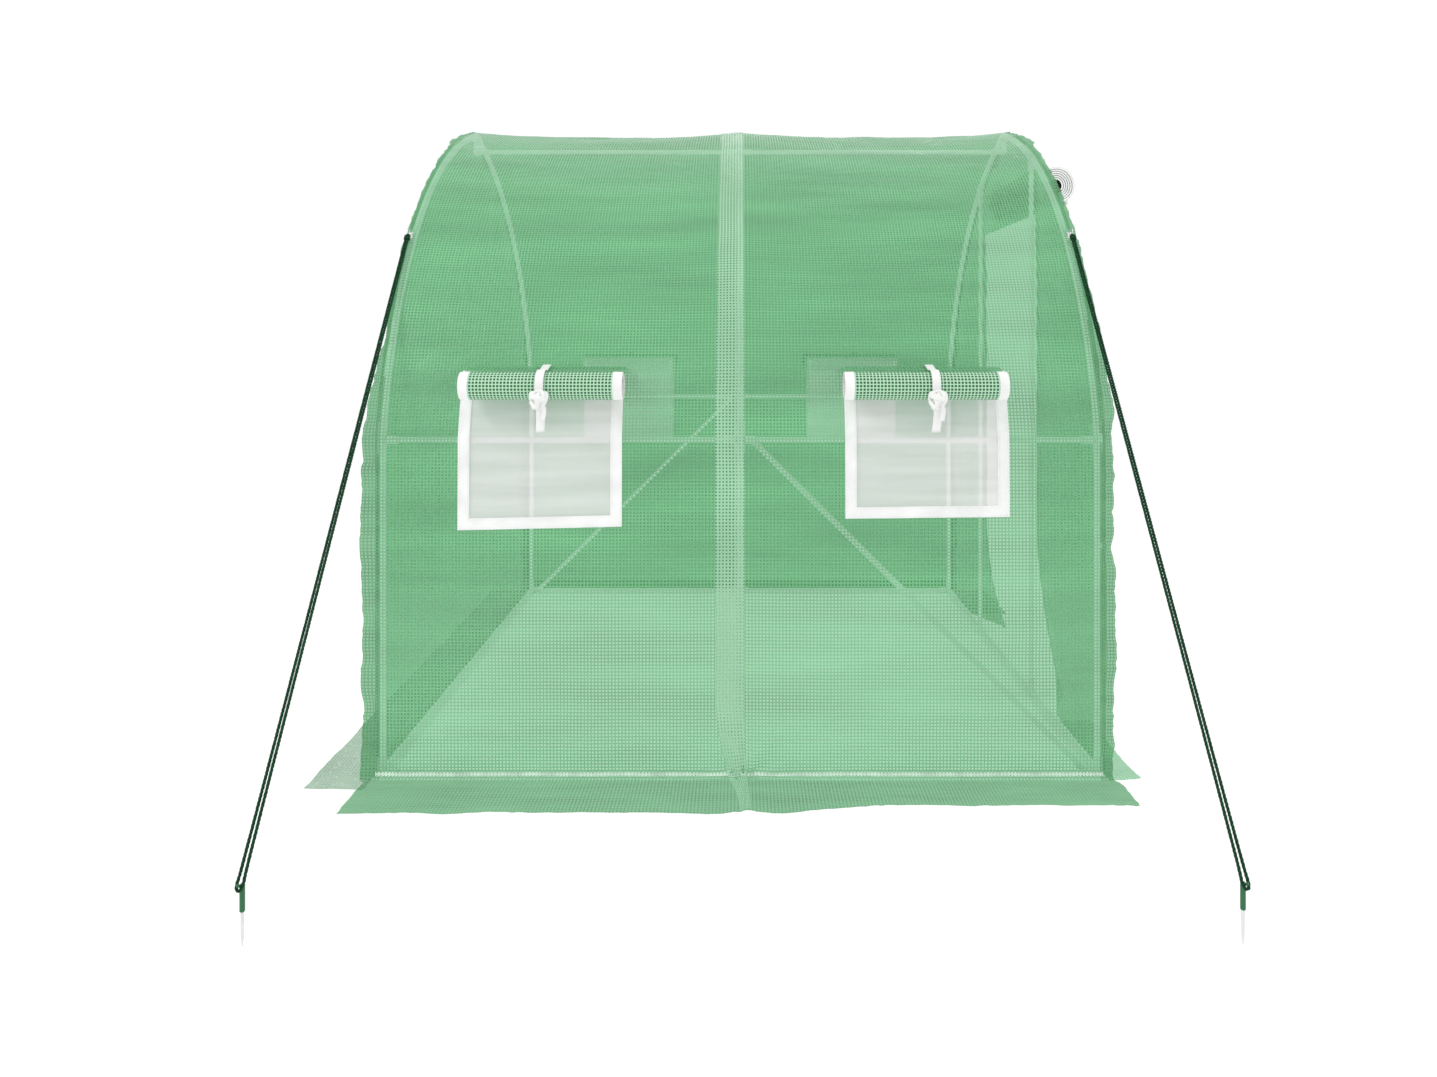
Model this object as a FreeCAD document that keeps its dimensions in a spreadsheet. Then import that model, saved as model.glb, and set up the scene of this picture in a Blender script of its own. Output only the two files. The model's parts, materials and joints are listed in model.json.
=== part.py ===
"""Walk-in tunnel greenhouse: a tube frame of three hoops under a reinforced film cover.

X runs along the tunnel towards the door, Y across it (front is -Y), Z up from the ground.
The origin is on the ground at the middle of the floor. Millimetres and degrees.
"""

import FreeCAD, Part
import math
import os

from FreeCAD import Placement, Rotation, Vector

SIZES = {
    # the frame
    "half_length": 1000,
    "half_width": 990,
    "eaves_height": 950,
    "ridge_height": 1988,
    "rafter_sagitta": 212,
    "hoop_tube": 20,
    "hoop_wall": 1.2,
    "bar_tube": 16,
    "bar_wall": 1,
    "ground_axis": 13,
    "purlin_height": 943,
    "ridge_bar_height": 1930,
    "post_offset": 358,
    # connectors, screws
    "hoop_socket": 26,
    "bar_socket": 22,
    "socket_length": 45,
    "socket_play": 0.3,
    "screw_diameter": 5.8,
    "screw_head": 13,
    "screw_head_height": 3,
    "brace_tab": 3,
    # the cover
    "cover_offset": 15,
    "cloth": 2,
    "skirt_reach_x": 1210,
    "skirt_reach_y": 1195,
    "skirt_half_run": 1040,
    "band_width": 80,
    "band_middle": -28,
    "band_cloth": 1.2,
    "window_width": 462,
    "window_sill": 712,
    "window_head": 1108,
    "doorway_width": 700,
    "doorway_height": 1650,
    # flaps, ties and zips
    "flap_roll": 84,
    "flap_tilt": 6,
    "flap_height": 1096,
    "door_roll": 130,
    "door_roll_width": 680,
    "door_roll_height": 1752,
    "strap_width": 20,
    "strap_cloth": 1.5,
    "knot": 42,
    "knot_depth": 13,
    "zip_width": 26,
    "slider_width": 12,
    # guy lines
    "rope": 6,
    "hook": 6,
    "stake_pin": 7,
    "stake_sleeve": 11.5,
    "stake_height": 126,
    "sleeve_height": 56,
}

doc = FreeCAD.newDocument("greenhouse")
sheet = doc.addObject("Spreadsheet::Sheet", "Sizes")
for row, (alias, value) in enumerate(SIZES.items(), start=1):
    sheet.set(f"A{row}", alias)
    sheet.set(f"B{row}", str(value))
    sheet.setAlias(f"B{row}", alias)
doc.recompute()

HALF_LENGTH = float(sheet.half_length)
HALF_WIDTH = float(sheet.half_width)
EAVES = float(sheet.eaves_height)
RIDGE = float(sheet.ridge_height)
GROUND_AXIS = float(sheet.ground_axis)
PURLIN = float(sheet.purlin_height)
RIDGE_BAR = float(sheet.ridge_bar_height)
SOCKET = float(sheet.socket_length)
OFFSET = float(sheet.cover_offset)
CLOTH = float(sheet.cloth)
TUBE_STOP = 12  # how far each tube's end stays from the middle of its connector
GAP = 0.3  # left between neighbouring pieces of the cover
STRAP = float(sheet.strap_cloth)
HOOPS = {"closed": -HALF_LENGTH, "mid": 0.0, "door": HALF_LENGTH}
SIDES = {"front": -1, "back": 1}
X_AXIS, Y_AXIS, Z_AXIS = Vector(1, 0, 0), Vector(0, 1, 0), Vector(0, 0, 1)

# The rafter is one circular arc from the eaves to the ridge.
CHORD = math.hypot(HALF_WIDTH, RIDGE - EAVES)
SAGITTA = float(sheet.rafter_sagitta)
ARC_RADIUS = (CHORD**2 / 4 + SAGITTA**2) / (2 * SAGITTA)
ARC_Y = HALF_WIDTH / 2 - (ARC_RADIUS - SAGITTA) * (RIDGE - EAVES) / CHORD
ARC_Z = (EAVES + RIDGE) / 2 - (ARC_RADIUS - SAGITTA) * HALF_WIDTH / CHORD

parts = {}


def arc_angle_at_height(height, offset=0.0):
    """Angle up from horizontal, in degrees, where the offset arc passes this height."""
    return math.degrees(math.asin((height - ARC_Z) / (ARC_RADIUS + offset)))


def arc_angle_at_ridge(offset=0.0):
    """Angle up from horizontal, in degrees, where the offset arc reaches the middle."""
    return math.degrees(math.acos(-ARC_Y / (ARC_RADIUS + offset)))


def arc_point(angle, side, x=0.0, offset=0.0):
    reach = ARC_RADIUS + offset
    y = ARC_Y + reach * math.cos(math.radians(angle))
    return Vector(x, side * y, ARC_Z + reach * math.sin(math.radians(angle)))


def arc_tangent(angle, side):
    """Direction up along the arc."""
    return Vector(0, -side * math.sin(math.radians(angle)), math.cos(math.radians(angle)))


def arc_placement(angle, side, x):
    """Local X points out of the arc's centre at this angle, and turning about Z climbs it."""
    out = Vector(0, side * math.cos(math.radians(angle)), math.sin(math.radians(angle)))
    turn = Rotation(out, arc_tangent(angle, side), X_AXIS * side, "XZY")
    return Placement(Vector(x, side * ARC_Y, ARC_Z), turn)


def bound(kind, name, expressions, placement):
    """A document object whose properties follow the sheet's cells."""
    thing = doc.addObject(kind, name)
    for prop, expression in expressions.items():
        thing.setExpression(prop, expression)
    thing.Placement = placement
    return thing


def along(base, direction):
    """Placement whose local Z runs along direction from base."""
    return Placement(base, Rotation(Z_AXIS, direction))


def rod(name, diameter, length, base, direction):
    """Solid cylinder; diameter and length are expressions or numbers."""
    sizes = {"Radius": f"({diameter}) / 2", "Height": f"{length}"}
    return bound("Part::Cylinder", name, sizes, along(base, direction))


def block(name, length, width, height, corner):
    sizes = {"Length": f"{length}", "Width": f"{width}", "Height": f"{height}"}
    return bound("Part::Box", name, sizes, Placement(corner, Rotation()))


def ball(name, diameter, centre):
    return bound("Part::Sphere", name, {"Radius": f"({diameter}) / 2"}, Placement(centre, Rotation()))


def fuse(name, pieces):
    joined = doc.addObject("Part::MultiFuse", name)
    joined.Shapes = pieces
    return joined


def cut(name, base, tools):
    result = doc.addObject("Part::Cut", name)
    result.Base = base
    result.Tool = tools[0] if len(tools) == 1 else fuse(f"{name}_tools", tools)
    return result


def group(name, pieces):
    """Separate solids kept as one sub-part."""
    gathered = doc.addObject("Part::Compound", name)
    gathered.Links = pieces
    return gathered


def sub_part(thing, node):
    thing.Label = node
    parts[node] = thing
    return thing


def tube(node, diameter, wall, start, end):
    """Straight tube between two points."""
    length = (end - start).Length
    outer = rod(f"{node}_outer", diameter, length, start, end - start)
    inner = rod(f"{node}_inner", f"{diameter} - 2 * {wall}", length, start, end - start)
    return sub_part(cut(node, outer, [inner]), node)


def shell(name, side, x_low, length, low_angle, high_angle, inside, cloth):
    """Curved cloth panel over the rafters, at a distance outside their centreline."""
    start = x_low if side > 0 else x_low + float(length)
    place = arc_placement(low_angle, side, start)
    outer = {"Radius": f"{ARC_RADIUS} + {inside} + {cloth}", "Height": f"{length}"}
    outer["Angle"] = f"{high_angle - low_angle}"
    inner = {"Radius": f"{ARC_RADIUS} + {inside}", "Height": f"{length}"}
    return cut(
        name,
        bound("Part::Cylinder", f"{name}_outer", outer, place),
        [bound("Part::Cylinder", f"{name}_inner", inner, place)],
    )


# ---------------------------------------------------------------- hoops

RAFTER_START = arc_angle_at_height(EAVES) + math.degrees(TUBE_STOP / ARC_RADIUS)
RAFTER_END = arc_angle_at_ridge() - math.degrees(TUBE_STOP / ARC_RADIUS)


def make_leg(side, hoop):
    foot = Vector(HOOPS[hoop], SIDES[side] * HALF_WIDTH, GROUND_AXIS + TUBE_STOP)
    top = Vector(foot.x, foot.y, EAVES - TUBE_STOP)
    tube(f"leg_{side}_{hoop}", "Sizes.hoop_tube", "Sizes.hoop_wall", foot, top)


def make_rafter(side, hoop):
    node = f"rafter_{side}_{hoop}"
    place = arc_placement(RAFTER_START, SIDES[side], HOOPS[hoop])
    sizes = {"Radius1": f"{ARC_RADIUS}", "Radius2": "Sizes.hoop_tube / 2"}
    sizes["Angle3"] = f"{RAFTER_END - RAFTER_START}"
    outer = bound("Part::Torus", f"{node}_outer", sizes, place)
    sizes["Radius2"] = "Sizes.hoop_tube / 2 - Sizes.hoop_wall"
    inner = bound("Part::Torus", f"{node}_inner", sizes, place)
    sub_part(cut(node, outer, [inner]), node)


for side_name in SIDES:
    for hoop_name in HOOPS:
        make_leg(side_name, hoop_name)
        make_rafter(side_name, hoop_name)

# ---------------------------------------------------------------- long bars, end bars, posts


def make_long_bars(kind, y, height):
    """Two bars in line, each between two neighbouring hoops."""
    for bay, (start, end) in {"closed": ("closed", "mid"), "door": ("mid", "door")}.items():
        a = Vector(HOOPS[start] + TUBE_STOP, y, height)
        b = Vector(HOOPS[end] - TUBE_STOP, y, height)
        tube(f"{kind}_{bay}", "Sizes.bar_tube", "Sizes.bar_wall", a, b)


make_long_bars("ridge_bar", 0, RIDGE_BAR)
for side_name, side_sign in SIDES.items():
    make_long_bars(f"purlin_{side_name}", side_sign * HALF_WIDTH, PURLIN)
    make_long_bars(f"ground_bar_{side_name}", side_sign * HALF_WIDTH, GROUND_AXIS)

for hoop_name in ("closed", "door"):
    inner_y = HALF_WIDTH - TUBE_STOP
    ends = [Vector(HOOPS[hoop_name], sign * inner_y, GROUND_AXIS) for sign in (-1, 1)]
    tube(f"end_bar_{hoop_name}", "Sizes.bar_tube", "Sizes.bar_wall", *ends)

POST_Y = float(sheet.post_offset)
POST_ANGLE = math.degrees(math.acos((POST_Y - ARC_Y) / ARC_RADIUS))
POST_TOP = arc_point(POST_ANGLE, 1).z
for side_name, side_sign in SIDES.items():
    low = Vector(HALF_LENGTH, side_sign * POST_Y, GROUND_AXIS + TUBE_STOP)
    high = Vector(HALF_LENGTH, side_sign * POST_Y, POST_TOP - TUBE_STOP - 8)
    tube(f"door_post_{side_name}", "Sizes.bar_tube", "Sizes.bar_wall", low, high)

# ---------------------------------------------------------------- connectors

HOOP_BORE = "Sizes.hoop_tube + Sizes.socket_play"
BAR_BORE = "Sizes.bar_tube + Sizes.socket_play"


def connector(name, centre, arms, extra=()):
    """Sockets that meet at one point: each arm is (direction, for a hoop tube or not)."""
    solids, bores = [ball(f"{name}_ball", "Sizes.hoop_socket", centre), *extra], []
    for number, (direction, for_hoop) in enumerate(arms):
        outside = "Sizes.hoop_socket" if for_hoop else "Sizes.bar_socket"
        bore = HOOP_BORE if for_hoop else BAR_BORE
        label = f"{name}_arm{number}"
        solids.append(rod(label, outside, "Sizes.socket_length", centre, direction))
        mouth = centre + direction.normalize() * (TUBE_STOP - 1)
        bores.append(rod(f"{label}_bore", bore, "Sizes.socket_length", mouth, direction))
    return cut(name, fuse(f"{name}_solid", solids), bores)


def inward(hoop):
    """Directions along X in which bars leave this hoop."""
    return {"closed": [X_AXIS], "mid": [X_AXIS, -X_AXIS], "door": [-X_AXIS]}[hoop]


def make_feet():
    feet = []
    for side, sign in SIDES.items():
        for hoop, x in HOOPS.items():
            name = f"foot_{side}_{hoop}"
            centre = Vector(x, sign * HALF_WIDTH, GROUND_AXIS)
            pad = rod(f"{name}_pad", "Sizes.hoop_socket", "Sizes.ground_axis", Vector(x, centre.y, 0), Z_AXIS)
            arms = [(Vector(0, 0, 1), True)] + [(Vector(way), False) for way in inward(hoop)]
            if hoop != "mid":
                arms.append((Vector(0, -sign, 0), False))
            feet.append(connector(name, centre, arms, [pad]))
    sub_part(group("feet", feet), "feet")


def make_eaves_connectors():
    joints = []
    angle = arc_angle_at_height(EAVES)
    for side, sign in SIDES.items():
        for hoop, x in HOOPS.items():
            name = f"eaves_{side}_{hoop}"
            centre = Vector(x, sign * HALF_WIDTH, EAVES)
            arms = [(Vector(0, 0, -1), True), (arc_tangent(angle + 0.9, sign), True)]
            body = connector(f"{name}_hoop", centre, arms)
            bars = Vector(x, sign * HALF_WIDTH, PURLIN)
            solids, bores = [body], []
            for number, way in enumerate(inward(hoop)):
                start = bars + way * TUBE_STOP
                length = "Sizes.socket_length - 12"
                solids.append(rod(f"{name}_bar{number}", "Sizes.bar_socket", length, start, way))
                bores.append(rod(f"{name}_bar{number}_bore", BAR_BORE, "Sizes.socket_length", start - way, way))
            joints.append(cut(name, fuse(f"{name}_solid", solids), bores))
    sub_part(group("eaves_connectors", joints), "eaves_connectors")


def make_ridge_connectors():
    """Two sloping sockets for the rafters over a hanger that carries the ridge bar."""
    joints = []
    angle = arc_angle_at_ridge()
    for hoop, x in HOOPS.items():
        name = f"ridge_{hoop}"
        arms = [(-arc_tangent(angle - 0.9, sign), True) for sign in SIDES.values()]
        crown = connector(f"{name}_crown", Vector(x, 0, RIDGE), arms)
        hanger = block(
            f"{name}_hanger", 20, 6, RIDGE - RIDGE_BAR - 8, Vector(x - 10, -3, RIDGE_BAR)
        )
        centre = Vector(x, 0, RIDGE_BAR)
        cradle = connector(f"{name}_cradle", centre, [(Vector(way), False) for way in inward(hoop)])
        joints.append(fuse(name, [crown, hanger, cradle]))
    sub_part(group("ridge_connectors", joints), "ridge_connectors")


def make_post_connectors():
    joints = []
    for side, sign in SIDES.items():
        name = f"post_{side}"
        y = sign * POST_Y
        centre = Vector(HALF_LENGTH, y, GROUND_AXIS)
        start = centre - Y_AXIS * 20
        tee = fuse(f"{name}_tee_solid", [
            rod(f"{name}_tee_sleeve", "Sizes.bar_socket", 40, start, Y_AXIS),
            rod(f"{name}_tee_arm", "Sizes.bar_socket - 1", "Sizes.socket_length", centre, Z_AXIS),
        ])
        joints.append(cut(f"{name}_tee", tee, [
            rod(f"{name}_tee_bore", BAR_BORE, 42, start - Y_AXIS, Y_AXIS),
            rod(f"{name}_arm_bore", BAR_BORE, "Sizes.socket_length", centre + Z_AXIS * 11, Z_AXIS),
        ]))
        slope = arc_tangent(POST_ANGLE, sign)
        crown = Vector(HALF_LENGTH, y, POST_TOP)
        cap = fuse(f"{name}_cap_solid", [
            rod(f"{name}_cap_sleeve", "Sizes.hoop_socket", 34, crown - slope * 17, slope),
            rod(f"{name}_cap_arm", "Sizes.bar_socket", "Sizes.socket_length", crown, -Z_AXIS),
        ])
        hollow = rod(f"{name}_cap_bore", f"{HOOP_BORE} + 0.4", 40, crown - slope * 20, slope)
        low = crown - Z_AXIS * (TUBE_STOP + 7)
        socket = rod(f"{name}_cap_socket", BAR_BORE, "Sizes.socket_length", low, -Z_AXIS)
        joints.append(cut(f"{name}_cap", cap, [hollow, socket]))
    sub_part(group("post_connectors", joints), "post_connectors")


make_feet()
make_eaves_connectors()
make_ridge_connectors()
make_post_connectors()

# ---------------------------------------------------------------- braces and screws

SCREW_INSET = 32  # from the hoop to each brace screw
BRACE_Y = HALF_WIDTH - 11 - 0.3 - 1.5
TAB_LENGTH = 46
BRACES = {
    "front": (Vector(SCREW_INSET, 0, PURLIN), Vector(HALF_LENGTH - SCREW_INSET, 0, GROUND_AXIS)),
    "back": (Vector(-SCREW_INSET, 0, PURLIN), Vector(SCREW_INSET - HALF_LENGTH, 0, GROUND_AXIS)),
}


def make_brace(side):
    """Tube with two flattened ends, screwed to a purlin's socket and a foot's socket."""
    node, lift = f"brace_{side}", Vector(0, SIDES[side] * BRACE_Y, 0)
    top, foot = (point + lift for point in BRACES[side])
    way = (foot - top).normalize()
    turn = Rotation(way, Y_AXIS, way.cross(Y_AXIS), "XYZ")
    solids = []
    for number, start in enumerate((top - way * 9, foot + way * 9 - way * TAB_LENGTH)):
        corner = start - Y_AXIS * 1.5 - way.cross(Y_AXIS) * 9
        sizes = {"Length": f"{TAB_LENGTH}", "Width": "Sizes.brace_tab", "Height": "18"}
        solids.append(bound("Part::Box", f"{node}_tab{number}", sizes, Placement(corner, turn)))
    start, end = top + way * 32, foot - way * 32
    outer = rod(f"{node}_outer", "Sizes.bar_tube", (end - start).Length, start, way)
    inner = rod(f"{node}_inner", "Sizes.bar_tube - 2 * Sizes.bar_wall", (end - start).Length + 2, start - way, way)
    body = cut(f"{node}_tube", outer, [inner])
    holes = [rod(f"{node}_hole{n}", "Sizes.screw_diameter + 0.6", 12, at - Y_AXIS * 6, Y_AXIS)
             for n, at in enumerate((top, foot))]
    sub_part(cut(node, fuse(f"{node}_solid", [body, *solids]), holes), node)


def make_screws():
    """A screw through each flattened brace end into the socket behind it, without its thread."""
    pieces = []
    for side, sign in SIDES.items():
        for number, point in enumerate(BRACES[side]):
            name = f"screw_{side}{number}"
            face = Vector(point.x, sign * (BRACE_Y - 1.7), point.z)
            way = Vector(0, sign, 0)
            shank = rod(f"{name}_shank", "Sizes.screw_diameter", 3.4, face, way)
            head = rod(f"{name}_head", "Sizes.screw_head", "Sizes.screw_head_height", face, -way)
            pieces.append(fuse(name, [head, shank]))
    sub_part(group("brace_screws", pieces), "brace_screws")


for side_name in SIDES:
    make_brace(side_name)
make_screws()

# ---------------------------------------------------------------- the cover's walls and roof

COVER_HALF = HALF_LENGTH + OFFSET - GAP
WALL_IN = HALF_WIDTH + OFFSET
WALL_OUT = WALL_IN + CLOTH
LOW_ANGLE = arc_angle_at_height(EAVES + GAP, OFFSET)
HIGH_ANGLE = arc_angle_at_ridge(OFFSET) - 0.02
SILL, HEAD = float(sheet.window_sill), float(sheet.window_head)
HEAD_ANGLE = arc_angle_at_height(HEAD, OFFSET)
WINDOW = float(sheet.window_width)
WINDOWS = {
    "front_closed": (-1, -556),
    "front_door": (-1, 520),
    "back_closed": (1, -535),
    "back_door": (1, 535),
}


def make_cover_side(side, sign):
    """One flat wall and one curved roof panel, with the openings of their two windows."""
    wall_y = WALL_IN if sign > 0 else -WALL_OUT
    wall = block(f"wall_{side}_sheet", 2 * COVER_HALF, "Sizes.cloth", EAVES, Vector(-COVER_HALF, wall_y, 0))
    roof = shell(
        f"roof_{side}_sheet", sign, -COVER_HALF, 2 * COVER_HALF, LOW_ANGLE, HIGH_ANGLE,
        "Sizes.cover_offset", "Sizes.cloth",
    )
    wall_cuts, roof_cuts = [], []
    for name, (window_sign, centre) in WINDOWS.items():
        if window_sign == sign:
            corner = Vector(centre - WINDOW / 2, wall_y - 40, SILL)
            wall_cuts.append(block(f"{name}_wall_gap", WINDOW, 120, EAVES, corner))
            corner = Vector(centre - WINDOW / 2, wall_y - 60, EAVES - 50)
            roof_cuts.append(block(f"{name}_roof_gap", WINDOW, 180, HEAD - EAVES + 50, corner))
    sub_part(cut(f"wall_{side}", wall, wall_cuts), f"wall_{side}")
    sub_part(cut(f"roof_{side}", roof, roof_cuts), f"roof_{side}")


def make_window_net(name):
    """Insect netting that fills a window, flat below the eaves and curved above."""
    sign, centre = WINDOWS[name]
    low_x, width = centre - WINDOW / 2 + GAP, WINDOW - 2 * GAP
    y = WALL_IN if sign > 0 else -WALL_OUT
    flat = block(f"net_{name}_flat", width, "Sizes.cloth", EAVES - SILL + 0.7, Vector(low_x, y, SILL + GAP))
    curved = shell(
        f"net_{name}_curved", sign, low_x, width, LOW_ANGLE, HEAD_ANGLE - 0.1,
        "Sizes.cover_offset", "Sizes.cloth",
    )
    sub_part(fuse(f"window_net_{name}", [flat, curved]), f"window_net_{name}")


def make_end_wall(hoop):
    """Arched sheet outside an end hoop; the one at the door has the doorway cut from it."""
    sign = 1 if hoop == "door" else -1
    reach = OFFSET + CLOTH
    top = arc_point(arc_angle_at_ridge(reach), 1, 0, reach)
    low = arc_angle_at_height(EAVES, reach)
    corner = arc_point(low, 1, 0, reach)
    middle = arc_point((low + arc_angle_at_ridge(reach)) / 2, 1, 0, reach)

    body = doc.addObject("PartDesign::Body", f"end_wall_{hoop}_body")
    sketch = body.newObject("Sketcher::SketchObject", f"end_wall_{hoop}_outline")
    plane = [p for p in body.Origin.OriginFeatures if p.Role == "YZ_Plane"][0]
    sketch.AttachmentSupport = [(plane, "")]
    sketch.MapMode = "FlatFace"
    foot = Vector(corner.y, 0, 0)
    right = Vector(corner.y, corner.z, 0)
    peak = Vector(0, top.z, 0)
    bulge = Vector(middle.y, middle.z, 0)
    mirrored = [Vector(-p.x, p.y, 0) for p in (foot, right, bulge)]
    sketch.addGeometry(Part.LineSegment(mirrored[0], foot))
    sketch.addGeometry(Part.LineSegment(foot, right))
    sketch.addGeometry(Part.Arc(right, bulge, peak))
    sketch.addGeometry(Part.Arc(peak, mirrored[2], mirrored[1]))
    sketch.addGeometry(Part.LineSegment(mirrored[1], mirrored[0]))
    pad = body.newObject("PartDesign::Pad", f"end_wall_{hoop}_pad")
    pad.Profile = sketch
    pad.setExpression("Length", "Sizes.cloth")
    start = HALF_LENGTH + OFFSET
    body.Placement = Placement(Vector(start if sign > 0 else -start - CLOTH, 0, 0), Rotation())
    if hoop == "closed":
        return sub_part(body, "end_wall_closed")
    doorway = block(
        "doorway", 20, "Sizes.doorway_width", "Sizes.doorway_height + 10",
        Vector(start - 10, -float(sheet.doorway_width) / 2, -10),
    )
    return sub_part(cut("end_wall_door", body, [doorway]), "end_wall_door")


def make_skirts():
    """Flat strips sewn round the foot of the cover, which lie on the ground."""
    run, reach_x, reach_y = (float(v) for v in (sheet.skirt_half_run, sheet.skirt_reach_x, sheet.skirt_reach_y))
    wide = reach_y - WALL_OUT - GAP
    sides = []
    for side, sign in SIDES.items():
        y = WALL_OUT + GAP if sign > 0 else -reach_y
        sides.append(block(f"skirt_{side}", 2 * run, wide, "Sizes.cloth", Vector(-run, y, 0)))
    sub_part(group("side_skirts", sides), "side_skirts")

    start = HALF_LENGTH + OFFSET + CLOTH + GAP
    deep = reach_x - start
    door_half = float(sheet.doorway_width) / 2
    ends = [block("skirt_closed", deep, 2 * WALL_IN, "Sizes.cloth", Vector(-reach_x, -WALL_IN, 0))]
    for side, y in (("front", -WALL_IN), ("back", door_half)):
        corner = Vector(start, y, 0)
        ends.append(block(f"skirt_door_{side}", deep, WALL_IN - door_half, "Sizes.cloth", corner))
    sub_part(group("end_skirts", ends), "end_skirts")


def make_band():
    """Reinforcing band over the cover at the middle hoop."""
    width = float(sheet.band_width)
    low_x = float(sheet.band_middle) - width / 2
    inside = f"Sizes.cover_offset + Sizes.cloth + {GAP}"
    pieces = []
    for side, sign in SIDES.items():
        y = WALL_OUT + GAP if sign > 0 else -WALL_OUT - GAP - float(sheet.band_cloth)
        corner = Vector(low_x, y, 12)
        pieces.append(block(f"band_{side}_low", "Sizes.band_width", "Sizes.band_cloth", EAVES - 10, corner))
        pieces.append(shell(
            f"band_{side}_high", sign, low_x, width, LOW_ANGLE, arc_angle_at_ridge(OFFSET + 3.6),
            inside, "Sizes.band_cloth",
        ))
    sub_part(fuse("centre_band", pieces), "centre_band")


for side_name, side_sign in SIDES.items():
    make_cover_side(side_name, side_sign)
for window_name in WINDOWS:
    make_window_net(window_name)
make_end_wall("closed")
make_end_wall("door")
make_skirts()
make_band()

# ---------------------------------------------------------------- rolled flaps, ties, zips

ROLL_GAP = 3
TILT = math.radians(float(sheet.flap_tilt))
FLAP_RADIUS = float(sheet.flap_roll) / 2
DOOR_RADIUS = float(sheet.door_roll) / 2
FLAP_Z = float(sheet.flap_height)
DOOR_Z = float(sheet.door_roll_height)
END_FACE = HALF_LENGTH + OFFSET + CLOTH
DOOR_X = END_FACE + ROLL_GAP + DOOR_RADIUS


def flap_y(height, clear):
    """Distance from the middle of a point that keeps clear of the eaves on the tilted path."""
    return WALL_OUT + clear / math.cos(TILT) - (height - EAVES) * math.tan(TILT)


def make_flap_roll(name):
    sign, centre = WINDOWS[name]
    y = sign * flap_y(FLAP_Z, FLAP_RADIUS + ROLL_GAP)
    start = Vector(centre - WINDOW / 2 + 1, y, FLAP_Z)
    sub_part(rod(f"flap_roll_{name}", "Sizes.flap_roll", WINDOW - 2, start, X_AXIS), f"flap_roll_{name}")


def make_strap(name, sign, x):
    """Tie strap that leaves the cover above a roll and hangs down in front of it."""
    top = FLAP_Z + FLAP_RADIUS + 6
    front = flap_y(top, 2 * FLAP_RADIUS + 2 * ROLL_GAP)
    root = arc_point(arc_angle_at_height(top, OFFSET + CLOTH), 1, 0, OFFSET + CLOTH + 1).y
    lean = Rotation(X_AXIS, sign * float(sheet.flap_tilt))
    half = float(sheet.strap_width) / 2
    low_y = root if sign > 0 else -front - STRAP
    reach = front + STRAP - root
    over = block(f"{name}_over", "Sizes.strap_width", reach, "Sizes.strap_cloth", Vector(x - half, low_y, top))
    hang = block(f"{name}_hang", "Sizes.strap_width", "Sizes.strap_cloth", 190, Vector())
    corner = Vector(x - half, front if sign > 0 else -front - STRAP, top)
    drop = lean.multVec(Vector(0, 0, 189))
    hang.Placement = Placement(corner - drop, lean)
    knot_at = Vector(x, sign * front, top) - lean.multVec(Vector(0, 0, 74))
    knot = rod(f"{name}_knot", "Sizes.knot", "Sizes.knot_depth", knot_at, lean.multVec(Y_AXIS * sign))
    return fuse(name, [over, hang, knot])


def make_door_strap(name, y):
    """Tie strap over the rolled door."""
    top = DOOR_Z + DOOR_RADIUS + 6
    front = DOOR_X + DOOR_RADIUS + ROLL_GAP
    half = float(sheet.strap_width) / 2
    start = END_FACE + 0.5
    reach = front + STRAP - start
    root = Vector(start, y - half, top)
    over = block(f"{name}_over", reach, "Sizes.strap_width", "Sizes.strap_cloth", root)
    low = Vector(front, y - half, top - 199)
    hang = block(f"{name}_hang", "Sizes.strap_cloth", "Sizes.strap_width", 200, low)
    knot = rod(f"{name}_knot", "Sizes.knot", "Sizes.knot_depth", Vector(front, y, DOOR_Z - 20), X_AXIS)
    return fuse(name, [over, hang, knot])


for window_name in WINDOWS:
    make_flap_roll(window_name)
straps = [make_strap(f"strap_{name}", sign, x) for name, (sign, x) in WINDOWS.items()]
straps += [make_door_strap(f"strap_door_{n}", y) for n, y in enumerate((-200, 200))]
sub_part(group("flap_ties", straps), "flap_ties")

roll_start = Vector(DOOR_X, -float(sheet.door_roll_width) / 2, DOOR_Z)
sub_part(rod("door_roll", "Sizes.door_roll", "Sizes.door_roll_width", roll_start, Y_AXIS), "door_roll")

ZIP_Y = float(sheet.doorway_width) / 2 + 14
ZIP_LOW, ZIP_HIGH = 30, 1640
ZIP_THICK = 1.2
zips = []
for side_name, side_sign in SIDES.items():
    corner = Vector(END_FACE + GAP, side_sign * ZIP_Y - float(sheet.zip_width) / 2, ZIP_LOW)
    zips.append(block(f"zip_{side_name}", ZIP_THICK, "Sizes.zip_width", ZIP_HIGH - ZIP_LOW, corner))
sub_part(group("door_zips", zips), "door_zips")


def make_slider(side, sign):
    """Zip slider with its pull tab, parked at the top of the zip."""
    face, high = END_FACE + GAP + ZIP_THICK + 0.6, ZIP_HIGH - 40
    half = float(sheet.slider_width) / 2
    body = block(f"slider_{side}_body", 5, "Sizes.slider_width", 20, Vector(face, sign * ZIP_Y - half, high))
    pull_at = Vector(face + 3.5, sign * ZIP_Y - half + 2, high - 36)
    pull = block(f"slider_{side}_pull", 2, "Sizes.slider_width - 4", 42, pull_at)
    sub_part(fuse(f"zip_slider_{side}", [body, pull]), f"zip_slider_{side}")


for side_name, side_sign in SIDES.items():
    make_slider(side_name, side_sign)

# ---------------------------------------------------------------- guy lines

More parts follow.
